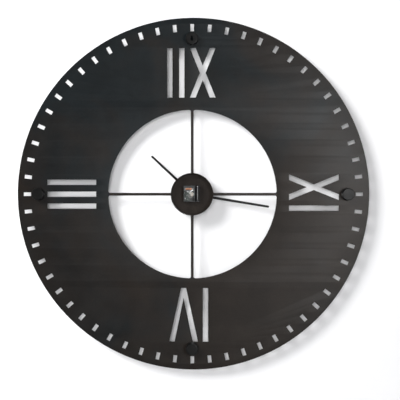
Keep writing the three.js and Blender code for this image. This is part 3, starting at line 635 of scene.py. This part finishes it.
def spoke(side, angle):
    low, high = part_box(f"spoke_{side}")
    thickness = high.y - low.y
    inner, outer = CUP_RADIUS + CUP_GAP, RING_HOLE_RADIUS - RING_GAP
    small = BAR_FLARE / 2
    ring_end = [(outer - BAR_FLARE + BAR_FLARE * t, BAR_HALF + fillet(t, BAR_FLARE))
                for t in [i / 8 for i in range(9)]]
    cup_end = [(inner + small * (1 - t), BAR_HALF + fillet(t, small))
               for t in [i / 6 for i in range(6, -1, -1)]]
    upper = cup_end + ring_end
    loop = upper + [(x, -z) for x, z in reversed(upper)]
    c, s = math.cos(angle), math.sin(angle)
    loop = [(c * x - s * z, s * x + c * z) for x, z in loop]
    bar = cut_plate(f"spoke_bar_{side}", [loop], low.y, high.y, BAR_EDGE)
    stands_for(bar, BAR_STEEL, "frame_steel", f"spoke_{side}")
    across = (-s, 0, c)
    for name, radius, y, length, r in (
        ("ring", outer + 0.2 * MM, PLATE_BACK + 0.1 * MM, 19 * MM, 1.5 * MM),
        ("cup", inner - 0.1 * MM, low.y + thickness * 0.8, 13 * MM, 1.4 * MM),
    ):
        weld = bead(f"weld_{name}_{side}", (c * radius, y, s * radius), across, length, r)
        stands_for(weld, WELD, "frame_steel")


for side, angle in SIDES.items():
    spoke(side, angle)


# ------------------------ hub cup
def hub_cup():
    bend, rim, hole, burr = 2.5 * MM, 0.6 * MM, 4.3 * MM, 0.2 * MM
    inside, inner_bend = CUP_RADIUS - SHEET, bend - SHEET
    profile = [
        *arc(CUP_RADIUS - rim, CUP_RIM - rim, rim, 90, 0, 5),
        *arc(CUP_RADIUS - bend, CUP_FRONT + bend, bend, 0, -90, 10),
        (hole + burr, CUP_FRONT), (hole, CUP_FRONT + burr),
        (hole, FLOOR_BACK - burr), (hole + burr, FLOOR_BACK),
        *arc(inside - inner_bend, FLOOR_BACK + inner_bend, inner_bend, -90, 0, 8),
        (inside, CUP_RIM - 0.3 * MM), (inside + 0.3 * MM, CUP_RIM),
    ]
    shell = lathe("hub_cup_shell", profile, 160, closed=True)
    stands_for(shell, SHADED_CUP_STEEL, "frame_steel", "hub_cup")


hub_cup()


# ------------------------ standoff cups
def standoff(side, angle):
    bend = 3 * MM
    inner_bend = bend - SHEET
    foot = PLATE_BACK + 0.05 * MM
    inside = STANDOFF_RADIUS - SHEET
    x, z = STANDOFF_PLACE * math.cos(angle), STANDOFF_PLACE * math.sin(angle)
    profile = [
        (0, WALL_FACE), *arc(STANDOFF_RADIUS - bend, WALL_FACE - bend, bend, 90, 0, 10),
        (STANDOFF_RADIUS, foot + 1.2 * MM), (STANDOFF_RADIUS, foot), (inside, foot),
        *arc(inside - inner_bend, WALL_FACE - bend, inner_bend, 0, 90, 6),
        (0, WALL_FACE - SHEET),
    ]
    cup = lathe(f"standoff_cup_{side}", profile, 72)
    if side == "top":
        boolean(cup, keyhole_cutter(), "DIFFERENCE")
        shade(outward(cup))
    shift(cup, x, z)
    stands_for(cup, STANDOFF, "standoff_black", f"standoff_{side}")


def keyhole_cutter():
    entry, half, drop, rise = 5 * MM, 2.5 * MM, 3.5 * MM, 6 * MM
    start = math.degrees(math.asin(half / entry))
    loop = arc(0, -drop, entry, 90 - start, -270 + start, 40) + arc(0, rise, half, 180, 0, 14)
    return cut_plate("keyhole_cutter", [loop], WALL_FACE - 4 * MM, WALL_FACE + 1 * MM, 0.01 * MM)


for side, angle in SIDES.items():
    standoff(side, angle)


# ------------------------ hands
def hand_outline(tip, tail, root, end, boss):
    """A tapered blade with a flat-ended tail and a round boss at the origin, pointing along +X."""
    tail_half = root * 0.4
    start = math.degrees(math.asin(root / 2 / boss))
    back = math.degrees(math.asin(tail_half / boss))
    upper = [(tip, 0), (tip - 0.06 * end, end * 0.3), (tip - end / 3, end / 2),
             *arc(0, 0, boss, start, 180 - back, 28), (-tail + 0.8 * MM, tail_half),
             (-tail, tail_half - 0.8 * MM)]
    return upper + [(x, -z) for x, z in reversed(upper[1:])]


HAND_SHEET, HAND_EDGE = 0.6 * MM, 0.12 * MM
COLLET_SHARE, COLLET_EDGE = 0.55, 0.15 * MM  # a collet's radius as a share of its boss's


def hand(node, body, direction, collet, lead, bore, **shape):
    """A blade on its collet, which runs between two depths. Its front is ahead of the blade by lead."""
    c, s = direction
    turned = [(c * x - s * z, s * x + c * z) for x, z in hand_outline(**shape)]
    front, back = depth(collet[0]), depth(collet[1])
    face = front + lead
    blade = cut_plate(f"{node}_blade", [turned, circle(bore, 48)], face, face + HAND_SHEET, HAND_EDGE)
    radius, edge = shape["boss"] * COLLET_SHARE, COLLET_EDGE
    sleeve = lathe(f"{node}_collet", [
        (bore, front), (radius - edge, front), (radius, front + edge),
        (radius, back - edge), (radius - edge, back), (bore, back),
    ], 48, closed=True)
    stands_for(boolean(blade, sleeve, "UNION"), HAND, "hand_black", node, body=body)
    shade(blade, 40)


def depth(local):
    """World y of a depth counted in millimetres from the cup floor's inner face."""
    return FLOOR_BACK + local * MM


HOUR_BORE, MINUTE_BORE = 2.95 * MM, 1.95 * MM
hand("hour_hand", "hour_hand_set", (0.731, 0.682), (-9.4, -7.2), 0.8 * MM, HOUR_BORE,
     tip=195.7 * MM, tail=42 * MM, root=9.3 * MM, end=7.3 * MM, boss=8 * MM)
hand("minute_hand", "minute_hand_set", (-0.987, -0.162), (-13.1, -11.2), 0.5 * MM, MINUTE_BORE,
     tip=270 * MM, tail=55 * MM, root=9.3 * MM, end=7.6 * MM, boss=7 * MM)


# ------------------------ nuts, washers and bushing
def threads(radius, start, end, pitch=0.5 * MM, deep=0.22 * MM):
    """The crests and roots of a thread, as [radius, y] pairs from start to end."""
    turns = int(abs(end - start) / pitch)
    step = (end - start) / turns
    out = [(radius - deep, start)]
    for i in range(turns):
        y = start + i * step
        out += [(radius, y + step * 0.4), (radius, y + step * 0.55), (radius - deep, y + step)]
    return out


def bushing():
    bore, radius, rim, chamfer = HOUR_BORE, 4 * MM, 6 * MM, 0.2 * MM
    front, back, flange = depth(-6.6), depth(2.9), (depth(0.3), depth(1.3))
    profile = [(bore, front + chamfer), (bore + chamfer, front), (radius - 2 * chamfer, front),
               *threads(radius, front + 0.3 * MM, depth(0)), (radius, flange[0]),
               (rim - chamfer, flange[0]), (rim, flange[0] + chamfer), (rim, flange[1] - chamfer),
               (rim - chamfer, flange[1]), (radius, flange[1]), (radius, back - chamfer),
               (radius - chamfer, back), (bore, back)]
    turned = lathe("threaded_bushing_turned", profile, 64, closed=True)
    stands_for(turned, BRASS, "brass", "threaded_bushing")


def hex_nut():
    low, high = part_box("hex_nut")
    corners, bore = circle((high.x - low.x) / 2, 6), circle(4.3 * MM, 48)
    flats = cut_plate("hex_nut_turned", [corners, bore], low.y, high.y, 0.12 * MM)
    narrow, wide, beyond = 5.2 * MM, 7.2 * MM, 1 * MM
    cone = lathe("nut_chamfer", [
        (0, low.y - beyond), (narrow, low.y - beyond), (wide, low.y + beyond),
        (wide, high.y + beyond), (0, high.y + beyond),
    ], 64)
    stands_for(boolean(flats, cone, "INTERSECT"), BRASS, "brass", "hex_nut")
    shade(flats, 30)


def washer(node, outer, inner, edge, material, slot):
    low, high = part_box(node)
    ring = [*arc(outer - edge, high.y - edge, edge, 90, 0, 3),
            *arc(outer - edge, low.y + edge, edge, 0, -90, 3), (inner, low.y), (inner, high.y)]
    stands_for(lathe(node + "_ring", ring, 72, closed=True), material, slot, node)


def cap_nut():
    low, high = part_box("hand_nut")
    radius, edge, skirt, floor = 3.2 * MM, 0.15 * MM, high.y, high.y - 1.5 * MM
    dome = [(0, low.y), *arc(0, low.y + radius, radius, -90, -32, 10)[1:]]
    profile = [*dome, (radius, low.y + 1.7 * MM), (radius, skirt - edge), (radius - edge, skirt),
               (MINUTE_BORE, skirt), (MINUTE_BORE, floor), (0, floor)]
    cap = lathe("hand_nut_cap", profile, 56)
    stands_for(cap, BRASS, "brass", "hand_nut", body="minute_hand_set")


bushing()
hex_nut()
washer("brass_washer", 7.5 * MM, 4.3 * MM, 0.15 * MM, BRASS, "brass")
washer("rubber_washer", 12 * MM, 6.3 * MM, 0.3 * MM, RUBBER, "rubber")
cap_nut()


# ------------------------ movement case and cover
def block(name, low, high, bevel):
    """A moulded rib or pad: a box with rounded edges."""
    corners = [(x, y, z) for x in (low[0], high[0]) for y in (low[1], high[1]) for z in (low[2], high[2])]
    sides = [(0, 1, 3, 2), (4, 6, 7, 5), (0, 4, 5, 1), (2, 3, 7, 6), (0, 2, 6, 4), (1, 5, 7, 3)]
    obj = mesh_of(name, corners, sides)
    outward(obj)
    edge = obj.modifiers.new("edge", "BEVEL")
    edge.width, edge.segments = bevel, 2
    bake_modifiers(obj)
    return shade(obj)


def merged(name, *pieces):
    """Several closed solids as one object."""
    bm = bmesh.new()
    for piece in pieces:
        bm.from_mesh(piece.data)
    for piece in pieces:
        remove(piece)
    mesh = bpy.data.meshes.new(name)
    bm.to_mesh(mesh)
    bm.free()
    return shade(new_object(name, mesh))


RIBS, RIB_HALF, RIB_DEPTH, RIB_EDGE = 5, 0.6 * MM, 0.5 * MM, 0.2 * MM
HOOK_HALF, HOOK_REACH = 3 * MM, 0.8 * MM


def movement_case():
    """The case, with ribs on its sides and the cover's hooks on its top and bottom."""
    low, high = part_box("movement_case")
    shell = refined("movement_case", "movement_case_shell", 0.2 * MM)
    raised = []
    for x in (low.x, high.x):
        for k in range(RIBS):
            z = low.z + (k + 0.5) * (high.z - low.z) / RIBS
            raised.append(block("rib", (x - RIB_DEPTH, low.y + 3 * MM, z - RIB_HALF),
                                (x + RIB_DEPTH, high.y - 2 * MM, z + RIB_HALF), RIB_EDGE))
    for z, above in ((low.z, RIB_DEPTH), (high.z, HOOK_REACH)):
        for x in (low.x + 24 * MM, high.x - 12 * MM):
            raised.append(block("hook", (x - HOOK_HALF, high.y - 6 * MM, z - RIB_DEPTH),
                                (x + HOOK_HALF, high.y - 3.4 * MM, z + above), RIB_EDGE))
    moulding = merged("movement_case_moulding", shell, *raised)
    stands_for(moulding, CASE, "case_plastic", "movement_case")


def cover_boss(node, face):
    """A low ring on the cover, over the pivot of a wheel."""
    at = centre(node)
    foot, top = face - 0.05 * MM, face + 0.5 * MM
    profile = [(0.6 * MM, foot), (0.6 * MM, top), (1.2 * MM, top), (1.45 * MM, foot)]
    ring = lathe("boss", profile, 32, closed=True)
    shift(ring, at.x, at.z)
    return ring


def gear_cover():
    low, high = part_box("gear_cover")
    sheet = refined("gear_cover", "gear_cover_sheet", 0.15 * MM)
    frame_lines = [rectangle(low, high), rectangle(low, high, 0.9 * MM)]
    lip = cut_plate("lip", frame_lines, high.y - 0.1 * MM, high.y + 0.5 * MM, 0.15 * MM)
    pivoted = ("fourth_wheel", "third_wheel", "intermediate_wheel", "rotor")
    bosses = [cover_boss(node, high.y) for node in pivoted]
    cover = merged("gear_cover_clear", sheet, lip, *bosses)
    stands_for(cover, CLEAR, "clear_cover", "gear_cover")


movement_case()
gear_cover()
stands_for(refined("middle_plate", "middle_plate_moulding", 0.15 * MM), CASE, "case_plastic",
           "middle_plate")


# ------------------------ wheels
def holes(radius, count, ring, at, front, back):
    """Cutters for a ring of round windows through a wheel's web."""
    pins = []
    for i in range(count):
        a = TAU * i / count
        pin = lathe("pin", [(0, front), (radius, front), (radius, back), (0, back)], 24)
        shift(pin, at.x + ring * math.cos(a), at.z + ring * math.sin(a))
        pins.append(pin)
    return merged("windows", *pins)


def wheel(node, body, material, slot, windows=None):
    """A CAD wheel with softened teeth. windows: radius, count, the circle they lie on, two depths."""
    obj = refined(node, node + "_cut", 0.05 * MM, 30)
    if windows:
        radius, count, ring, front, back = windows
        boolean(obj, holes(radius, count, ring, centre(node), depth(front), depth(back)), "DIFFERENCE")
        shade(obj, 30)
    return stands_for(obj, material, slot, node, body=body)


wheel("rotor", "rotor_set", MAGNET, "magnet_steel")
wheel("intermediate_wheel", "intermediate_set", WHITE, "gear_plastic", (0.75 * MM, 5, 2.7 * MM, 13.3, 14.4))
wheel("fourth_wheel", "fourth_set", WHITE, "gear_plastic", (1.15 * MM, 6, 3.9 * MM, 11.7, 12.9))
wheel("third_wheel", "third_set", GREY, "gear_plastic", (0.9 * MM, 6, 3.6 * MM, 9.8, 10.8))
wheel("centre_wheel", "centre_set", BRASS, "brass", (1.3 * MM, 5, 4.9 * MM, 6.7, 7.9))
wheel("minute_wheel", "minute_wheel_set", WHITE, "gear_plastic", (0.9 * MM, 5, 4.2 * MM, 5.0, 6.2))
wheel("hour_wheel", "hour_hand_set", WHITE, "gear_plastic")
wheel("minute_pipe", "minute_hand_set", BRASS, "brass")


def setting_knob():
    """The knob's knurled cup over the CAD stem and gear."""
    at = centre("setting_knob")
    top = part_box("setting_knob")[1].y
    floor, front = top - 1.9 * MM, top - 2.7 * MM
    knurls, outer, wave, well, edge = 28, 5.22 * MM, 0.12 * MM, 3.9 * MM, 0.15 * MM
    rim = []
    for i in range(knurls * 8):
        a = TAU * i / (knurls * 8)
        r = outer + wave * math.cos(knurls * a)
        rim.append((r * math.cos(a), r * math.sin(a)))
    cup = cut_plate("knob_cup", [rim, circle(well, 64)], floor - 0.05 * MM, top, edge)
    base = cut_plate("knob_base", [rim], front, floor, edge)
    under = floor - 0.1 * MM
    button = lathe("knob_button", [(0, under), (1.7 * MM, under), (1.6 * MM, top - 0.6 * MM),
                                   (1.3 * MM, top - 0.4 * MM), (0, top - 0.35 * MM)], 40)
    reach, half = 3.95 * MM, 0.3 * MM
    vanes = [block("vane", (-reach, under, -half), (reach, floor + 0.5 * MM, half), 0.1 * MM)
             for _ in range(3)]
    for k, vane in enumerate(vanes):
        vane.data.transform(Matrix.Rotation(TAU * k / 6, 4, "Y"))
    head = merged("knob_head", cup, base, button, *vanes)
    shift(head, at.x, at.z)
    stem = refined("setting_knob", "knob_stem", 0)
    clear = block("clear", (at.x - 7 * MM, front - 0.05 * MM, at.z - 7 * MM),
                  (at.x + 7 * MM, top + 1 * MM, at.z + 7 * MM), 0.01 * MM)
    boolean(stem, clear, "DIFFERENCE")
    knob = merged("setting_knob_moulding", head, stem)
    stands_for(knob, CASE, "case_plastic", "setting_knob", body="knob_set")


setting_knob()


# ------------------------ stepping motor
def along_x(obj, at):
    """Lays a piece turned about Y along X at a point."""
    obj.data.transform(Matrix.Translation(at) @ Matrix.Rotation(-math.pi / 2, 4, "Z"))
    return obj


def coil():
    at = centre("coil_winding")
    half = size("coil_winding").x / 2
    outer, inner, wire = 3.2 * MM, 2.6 * MM, 0.26 * MM
    crest, sag, uneven = 0.12 * MM, 0.13 * MM, 0.05 * MM
    turns = int(2 * half / wire)
    ridges = []
    for i in range(turns):
        middle = -half + (i + 0.5) * 2 * half / turns
        crown = outer - sag - uneven * abs(math.sin(i * 1.7))
        ridges += [(crown + crest * math.cos(a), middle + wire / 2 * math.sin(a))
                   for a in (-1.3, -0.6, 0, 0.6, 1.3)]
    winding = lathe("coil_winding_turns", [(inner, -half), *ridges, (inner, half)], 48, closed=True)
    shade(winding, 80)
    stands_for(along_x(winding, at), COPPER, "copper_wire", "coil_winding")
    bobbin = refined("coil_bobbin", "coil_bobbin_moulding", 0.12 * MM)
    stands_for(bobbin, WHITE, "gear_plastic", "coil_bobbin")
    for node in ("coil_core", "stator"):
        stands_for(refined(node, node + "_lamination", 0.08 * MM), BRIGHT, "steel", node)


def screw(side):
    node = f"coil_screw_{side}"
    low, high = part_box(node)
    head, shank, under = 1.4 * MM, 0.6 * MM, high.y - 1.1 * MM
    thread = threads(shank, high.y - 1.6 * MM, low.y + 0.5 * MM, 0.45 * MM, 0.13 * MM)
    profile = [(0, high.y), (0.7 * MM, high.y - 0.02 * MM), (1.15 * MM, high.y - 0.2 * MM),
               (head, high.y - 0.55 * MM), (head, under), (shank, under), *thread, (0, low.y)]
    body = lathe(node + "_turned", profile, 40)
    reach, half = 1 * MM, 0.17 * MM
    low_corner, high_corner = (-reach, high.y - 0.6 * MM, -half), (reach, high.y + 0.5 * MM, half)
    slots = [block("slot", low_corner, high_corner, 0.02 * MM) for _ in range(2)]
    slots[1].data.transform(Matrix.Rotation(math.pi / 2, 4, "Y"))
    for slot in slots:
        boolean(body, slot, "DIFFERENCE")
    at = centre(node)
    shift(body, at.x, at.z)
    shade(body, 35)
    stands_for(body, BRIGHT, "steel", node)


coil()
for side in ("left", "right"):
    screw(side)


# ------------------------ circuit board and what is on it
UPRIGHT = Matrix.Rotation(math.pi / 2, 4, "X")  # stands a piece turned about Y along Z


def solder(x, y, z):
    """A solder joint: a low cone with a rounded top."""
    radius = 0.8 * MM
    foot = y - 0.05 * MM
    joint = lathe("solder", [(0, foot), (radius, foot), (radius * 0.85, y + radius * 0.15),
                             (radius * 0.45, y + radius * 0.55), (radius * 0.2, y + radius * 0.75),
                             (0, y + radius * 0.8)], 24)
    shift(joint, x, z)
    return joint


def board():
    stands_for(refined("circuit_board", "circuit_board_sheet", 0.06 * MM), BOARD, "board", "circuit_board")
    low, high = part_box("circuit_board")
    spots = [(high.x - 2 * MM, high.z - 2 * MM), (high.x - 2 * MM, high.z - 5 * MM),
             (low.x + 8 * MM, high.z - 1.6 * MM), (high.x - 2.2 * MM, low.z + 3 * MM),
             (high.x - 5.2 * MM, low.z + 3 * MM), (low.x + 2 * MM, low.z + 2 * MM),
             (low.x + 5 * MM, low.z + 2 * MM)]
    joints = merged("solder_joints", *[solder(x, high.y, z) for x, z in spots])
    stands_for(joints, BRIGHT, "steel")


def crystal():
    at, extent = centre("quartz_crystal"), size("quartz_crystal")
    half, radius = extent.z / 2, extent.x / 2
    neck, corner = radius * 0.9, radius * 0.2
    can = lathe("crystal_can", [
        (0, half), (radius * 0.75, half), *arc(radius * 0.8, half - corner, corner, 80, 0, 4),
        (radius, -half + 0.5 * MM), (radius, -half + 0.3 * MM), (neck, -half + 0.25 * MM),
        (neck, -half), (0, -half),
    ], 40)
    can.data.transform(Matrix.Translation(at) @ UPRIGHT)
    wire, length = 0.16 * MM, 2.2 * MM
    leads = []
    for side in (-1, 1):
        lead = lathe("lead", [(0, 0), (wire, 0), (wire, length), (0, length)], 12)
        foot = (at.x + side * 0.45 * MM, at.y, at.z - half - 1.9 * MM)
        lead.data.transform(Matrix.Translation(foot) @ UPRIGHT)
        leads.append(lead)
    stands_for(merged("quartz_crystal_can", can, *leads), BRIGHT, "steel", "quartz_crystal")


def chip():
    low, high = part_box("chip")
    radius, skirt = (high.x - low.x) / 2, 0.2 * MM
    swell = high.y - low.y - skirt
    dome = [(0, low.y), (radius * 0.97, low.y), (radius, low.y + 0.15 * MM)]
    dome += [(radius * math.cos(a), low.y + skirt + swell * math.sin(a) ** 0.8)
             for a in [math.pi / 2 * k / 12 for k in range(1, 12)]]
    blob = lathe("chip_dome", [*dome, (0, high.y)], 48)
    at = centre("chip")
    shift(blob, at.x, at.z)
    stands_for(blob, RESIN, "chip_resin", "chip")


board()
crystal()
chip()


# ------------------------ battery and its contacts
def battery():
    at, extent = centre("battery"), size("battery")
    half, radius = extent.z / 2, extent.x / 2
    shoulder, floor = half - 1.4 * MM, -half + 0.4 * MM
    ledge, wall = shoulder - 0.3 * MM, radius - 0.4 * MM
    can = [(0, half), (2.3 * MM, half), *arc(2.35 * MM, half - 0.4 * MM, 0.4 * MM, 90, 0, 4),
           (2.75 * MM, shoulder), (5.9 * MM, shoulder), (6.1 * MM, ledge), (wall, ledge),
           (wall, -half + 0.6 * MM), (radius - 1 * MM, -half + 0.1 * MM), (radius - 1.6 * MM, floor),
           (4.4 * MM, floor), (4.2 * MM, -half), (0, -half)]
    dent, span = 0.04 * MM, 2 * half - 2.9 * MM  # the film draws in a little along the can
    side = [(radius - dent * math.sin(math.pi * k / 8) ** 2, shoulder - 1 * MM - span * k / 8)
            for k in range(1, 8)]
    sleeve = [(radius - 0.35 * MM, shoulder - 0.35 * MM),
              *arc(radius - 0.5 * MM, shoulder - 0.5 * MM, 0.5 * MM, 80, 0, 5), *side,
              *arc(radius - 0.6 * MM, -half + 0.7 * MM, 0.6 * MM, 0, -70, 5),
              (radius - 0.45 * MM, -half + 0.3 * MM)]
    for name, profile, material, slot, closed, nodes in (
        ("battery_can", can, BRIGHT, "steel", False, ()),
        ("battery_sleeve", sleeve, SLEEVE, "battery_sleeve", True, ("battery",)),
    ):
        piece = lathe(name, profile, 72, closed)
        piece.data.transform(Matrix.Translation(at) @ UPRIGHT)
        stands_for(piece, material, slot, *nodes, body="battery_cell")


battery()
for pole in ("positive", "negative"):
    node = f"battery_contact_{pole}"
    stands_for(refined(node, node + "_strip", 0.1 * MM), BRIGHT, "steel", node)


# ------------------------ stage, light and camera
FLOOR_Z = -0.80
BACKDROP_GAP = 0.045  # from the dial's front to the backdrop behind it
BACKDROP_REACH, FLOOR_REACH = 4.0, 8.0
FLOOR_GLOW = 0.62  # light of the floor's own that only the camera sees


def flat_material(name, colour, roughness):
    n = Nodes(name)
    n.set(Base_Color=colour, Specular_IOR_Level=0.1)
    cloud = n.noise(1.5, 2, 0.5)
    n.feed("Roughness", n.ramp(cloud, (0.3, roughness), (0.7, roughness + 0.05)))
    return n


def backdrop():
    """A pale screen on the dial's side. Seen from that side it is clear, and lamps shine through it."""
    n = flat_material("backdrop_white", (0.86, 0.86, 0.87), 0.9)
    clear = n.add("ShaderNodeBsdfTransparent")
    side = n.add("ShaderNodeNewGeometry")
    choose = n.add("ShaderNodeMixShader")
    path = n.add("ShaderNodeLightPath")
    n.link(n.math("MAXIMUM", side.outputs["Backfacing"], path.outputs["Is Shadow Ray"]), choose.inputs[0])
    n.link(n.shader.outputs[0], choose.inputs[1])
    n.link(clear.outputs[0], choose.inputs[2])
    n.link(choose.outputs[0], n.out.inputs["Surface"])
    y, reach = PLATE_FRONT - BACKDROP_GAP, BACKDROP_REACH
    corners = [(reach, y, FLOOR_Z), (-reach, y, FLOOR_Z), (-reach, y, reach), (reach, y, reach)]
    wall = mesh_of("backdrop", corners, [(0, 1, 2, 3)])
    wall.data.materials.append(n.material)


def floor():
    n = flat_material("floor_white", (0.4, 0.4, 0.405), 0.8)
    n.set(Emission_Color=(1.0, 1.0, 1.01))
    path = n.add("ShaderNodeLightPath")
    n.feed("Emission Strength", n.math("MULTIPLY", path.outputs["Is Camera Ray"], FLOOR_GLOW))
    r = FLOOR_REACH
    corners = [(-r, -r, FLOOR_Z), (r, -r, FLOOR_Z), (r, r, FLOOR_Z), (-r, r, FLOOR_Z)]
    ground = mesh_of("floor", corners, [(0, 1, 2, 3)])
    ground.data.materials.append(n.material)
    ground.visible_glossy = False


def area_light(name, at, target, width, height, power, glossy=True, diffuse=True):
    """A soft box. One that isn't glossy is cross-polarised: it lights surfaces but makes no glare.
    One that isn't diffuse is a card that only shows as a sheen."""
    data = bpy.data.lights.new(name, "AREA")
    data.shape = "RECTANGLE"
    data.size, data.size_y = width, height
    data.energy = power
    light = bpy.data.objects.new(name, data)
    light.location = at
    light.rotation_euler = (Vector(target) - Vector(at)).to_track_quat("-Z", "Y").to_euler()
    light.visible_camera = False
    light.visible_glossy = glossy
    light.visible_diffuse = diffuse
    bpy.context.scene.collection.objects.link(light)


def studio_world(ambient, seen):
    """A dim pale surround that the camera itself sees as a near-white background."""
    world = bpy.data.worlds.new("studio")
    world.use_nodes = True
    tree = world.node_tree
    background = tree.nodes["Background"]
    background.inputs["Color"].default_value = (0.97, 0.98, 1.0, 1)
    path = tree.nodes.new("ShaderNodeLightPath")
    strength = tree.nodes.new("ShaderNodeMapRange")
    strength.inputs["To Min"].default_value = ambient
    strength.inputs["To Max"].default_value = seen
    tree.links.new(path.outputs["Is Camera Ray"], strength.inputs["Value"])
    tree.links.new(strength.outputs[0], background.inputs["Strength"])
    bpy.context.scene.world = world


backdrop()
floor()
studio_world(0.12, 0.93)
bpy.context.scene.view_settings.view_transform = "Standard"

area_light("key_back", (2.7, 3.15, 2.25), (0, 0, 0), 1.8, 1.8, 222, glossy=False)
area_light("axis_back", (0.1, 3.9, 0.2), (0, 0, 0), 1.2, 1.2, 74, glossy=False)
area_light("side_back", (-1.3, 2.65, 0.1), (-0.2, 0, 0), 0.6, 1.2, 43, diffuse=False)
area_light("key_front", (-1.9, -2.6, 1.7), (0, 0, 0), 2.0, 2.0, 80)
area_light("side_front", (1.9, -2.4, 0.2), (0, 0, 0), 0.9, 1.8, 40)
area_light("panel_front", (0, -4.4, 0.9), (0, 0, 0), 5.0, 3.5, 90)

camera_data = bpy.data.cameras.new("camera")
camera_data.sensor_width = 36
camera_data.lens = 67.9
camera_data.clip_start = 0.05
camera = bpy.data.objects.new("camera", camera_data)
camera.location = (-0.110, PLATE_BACK + 2.613, 0.018)
aim = Vector((-0.027, PLATE_BACK, -0.020))
camera.rotation_euler = (aim - camera.location).to_track_quat("-Z", "Y").to_euler()
bpy.context.scene.collection.objects.link(camera)
bpy.context.scene.camera = camera
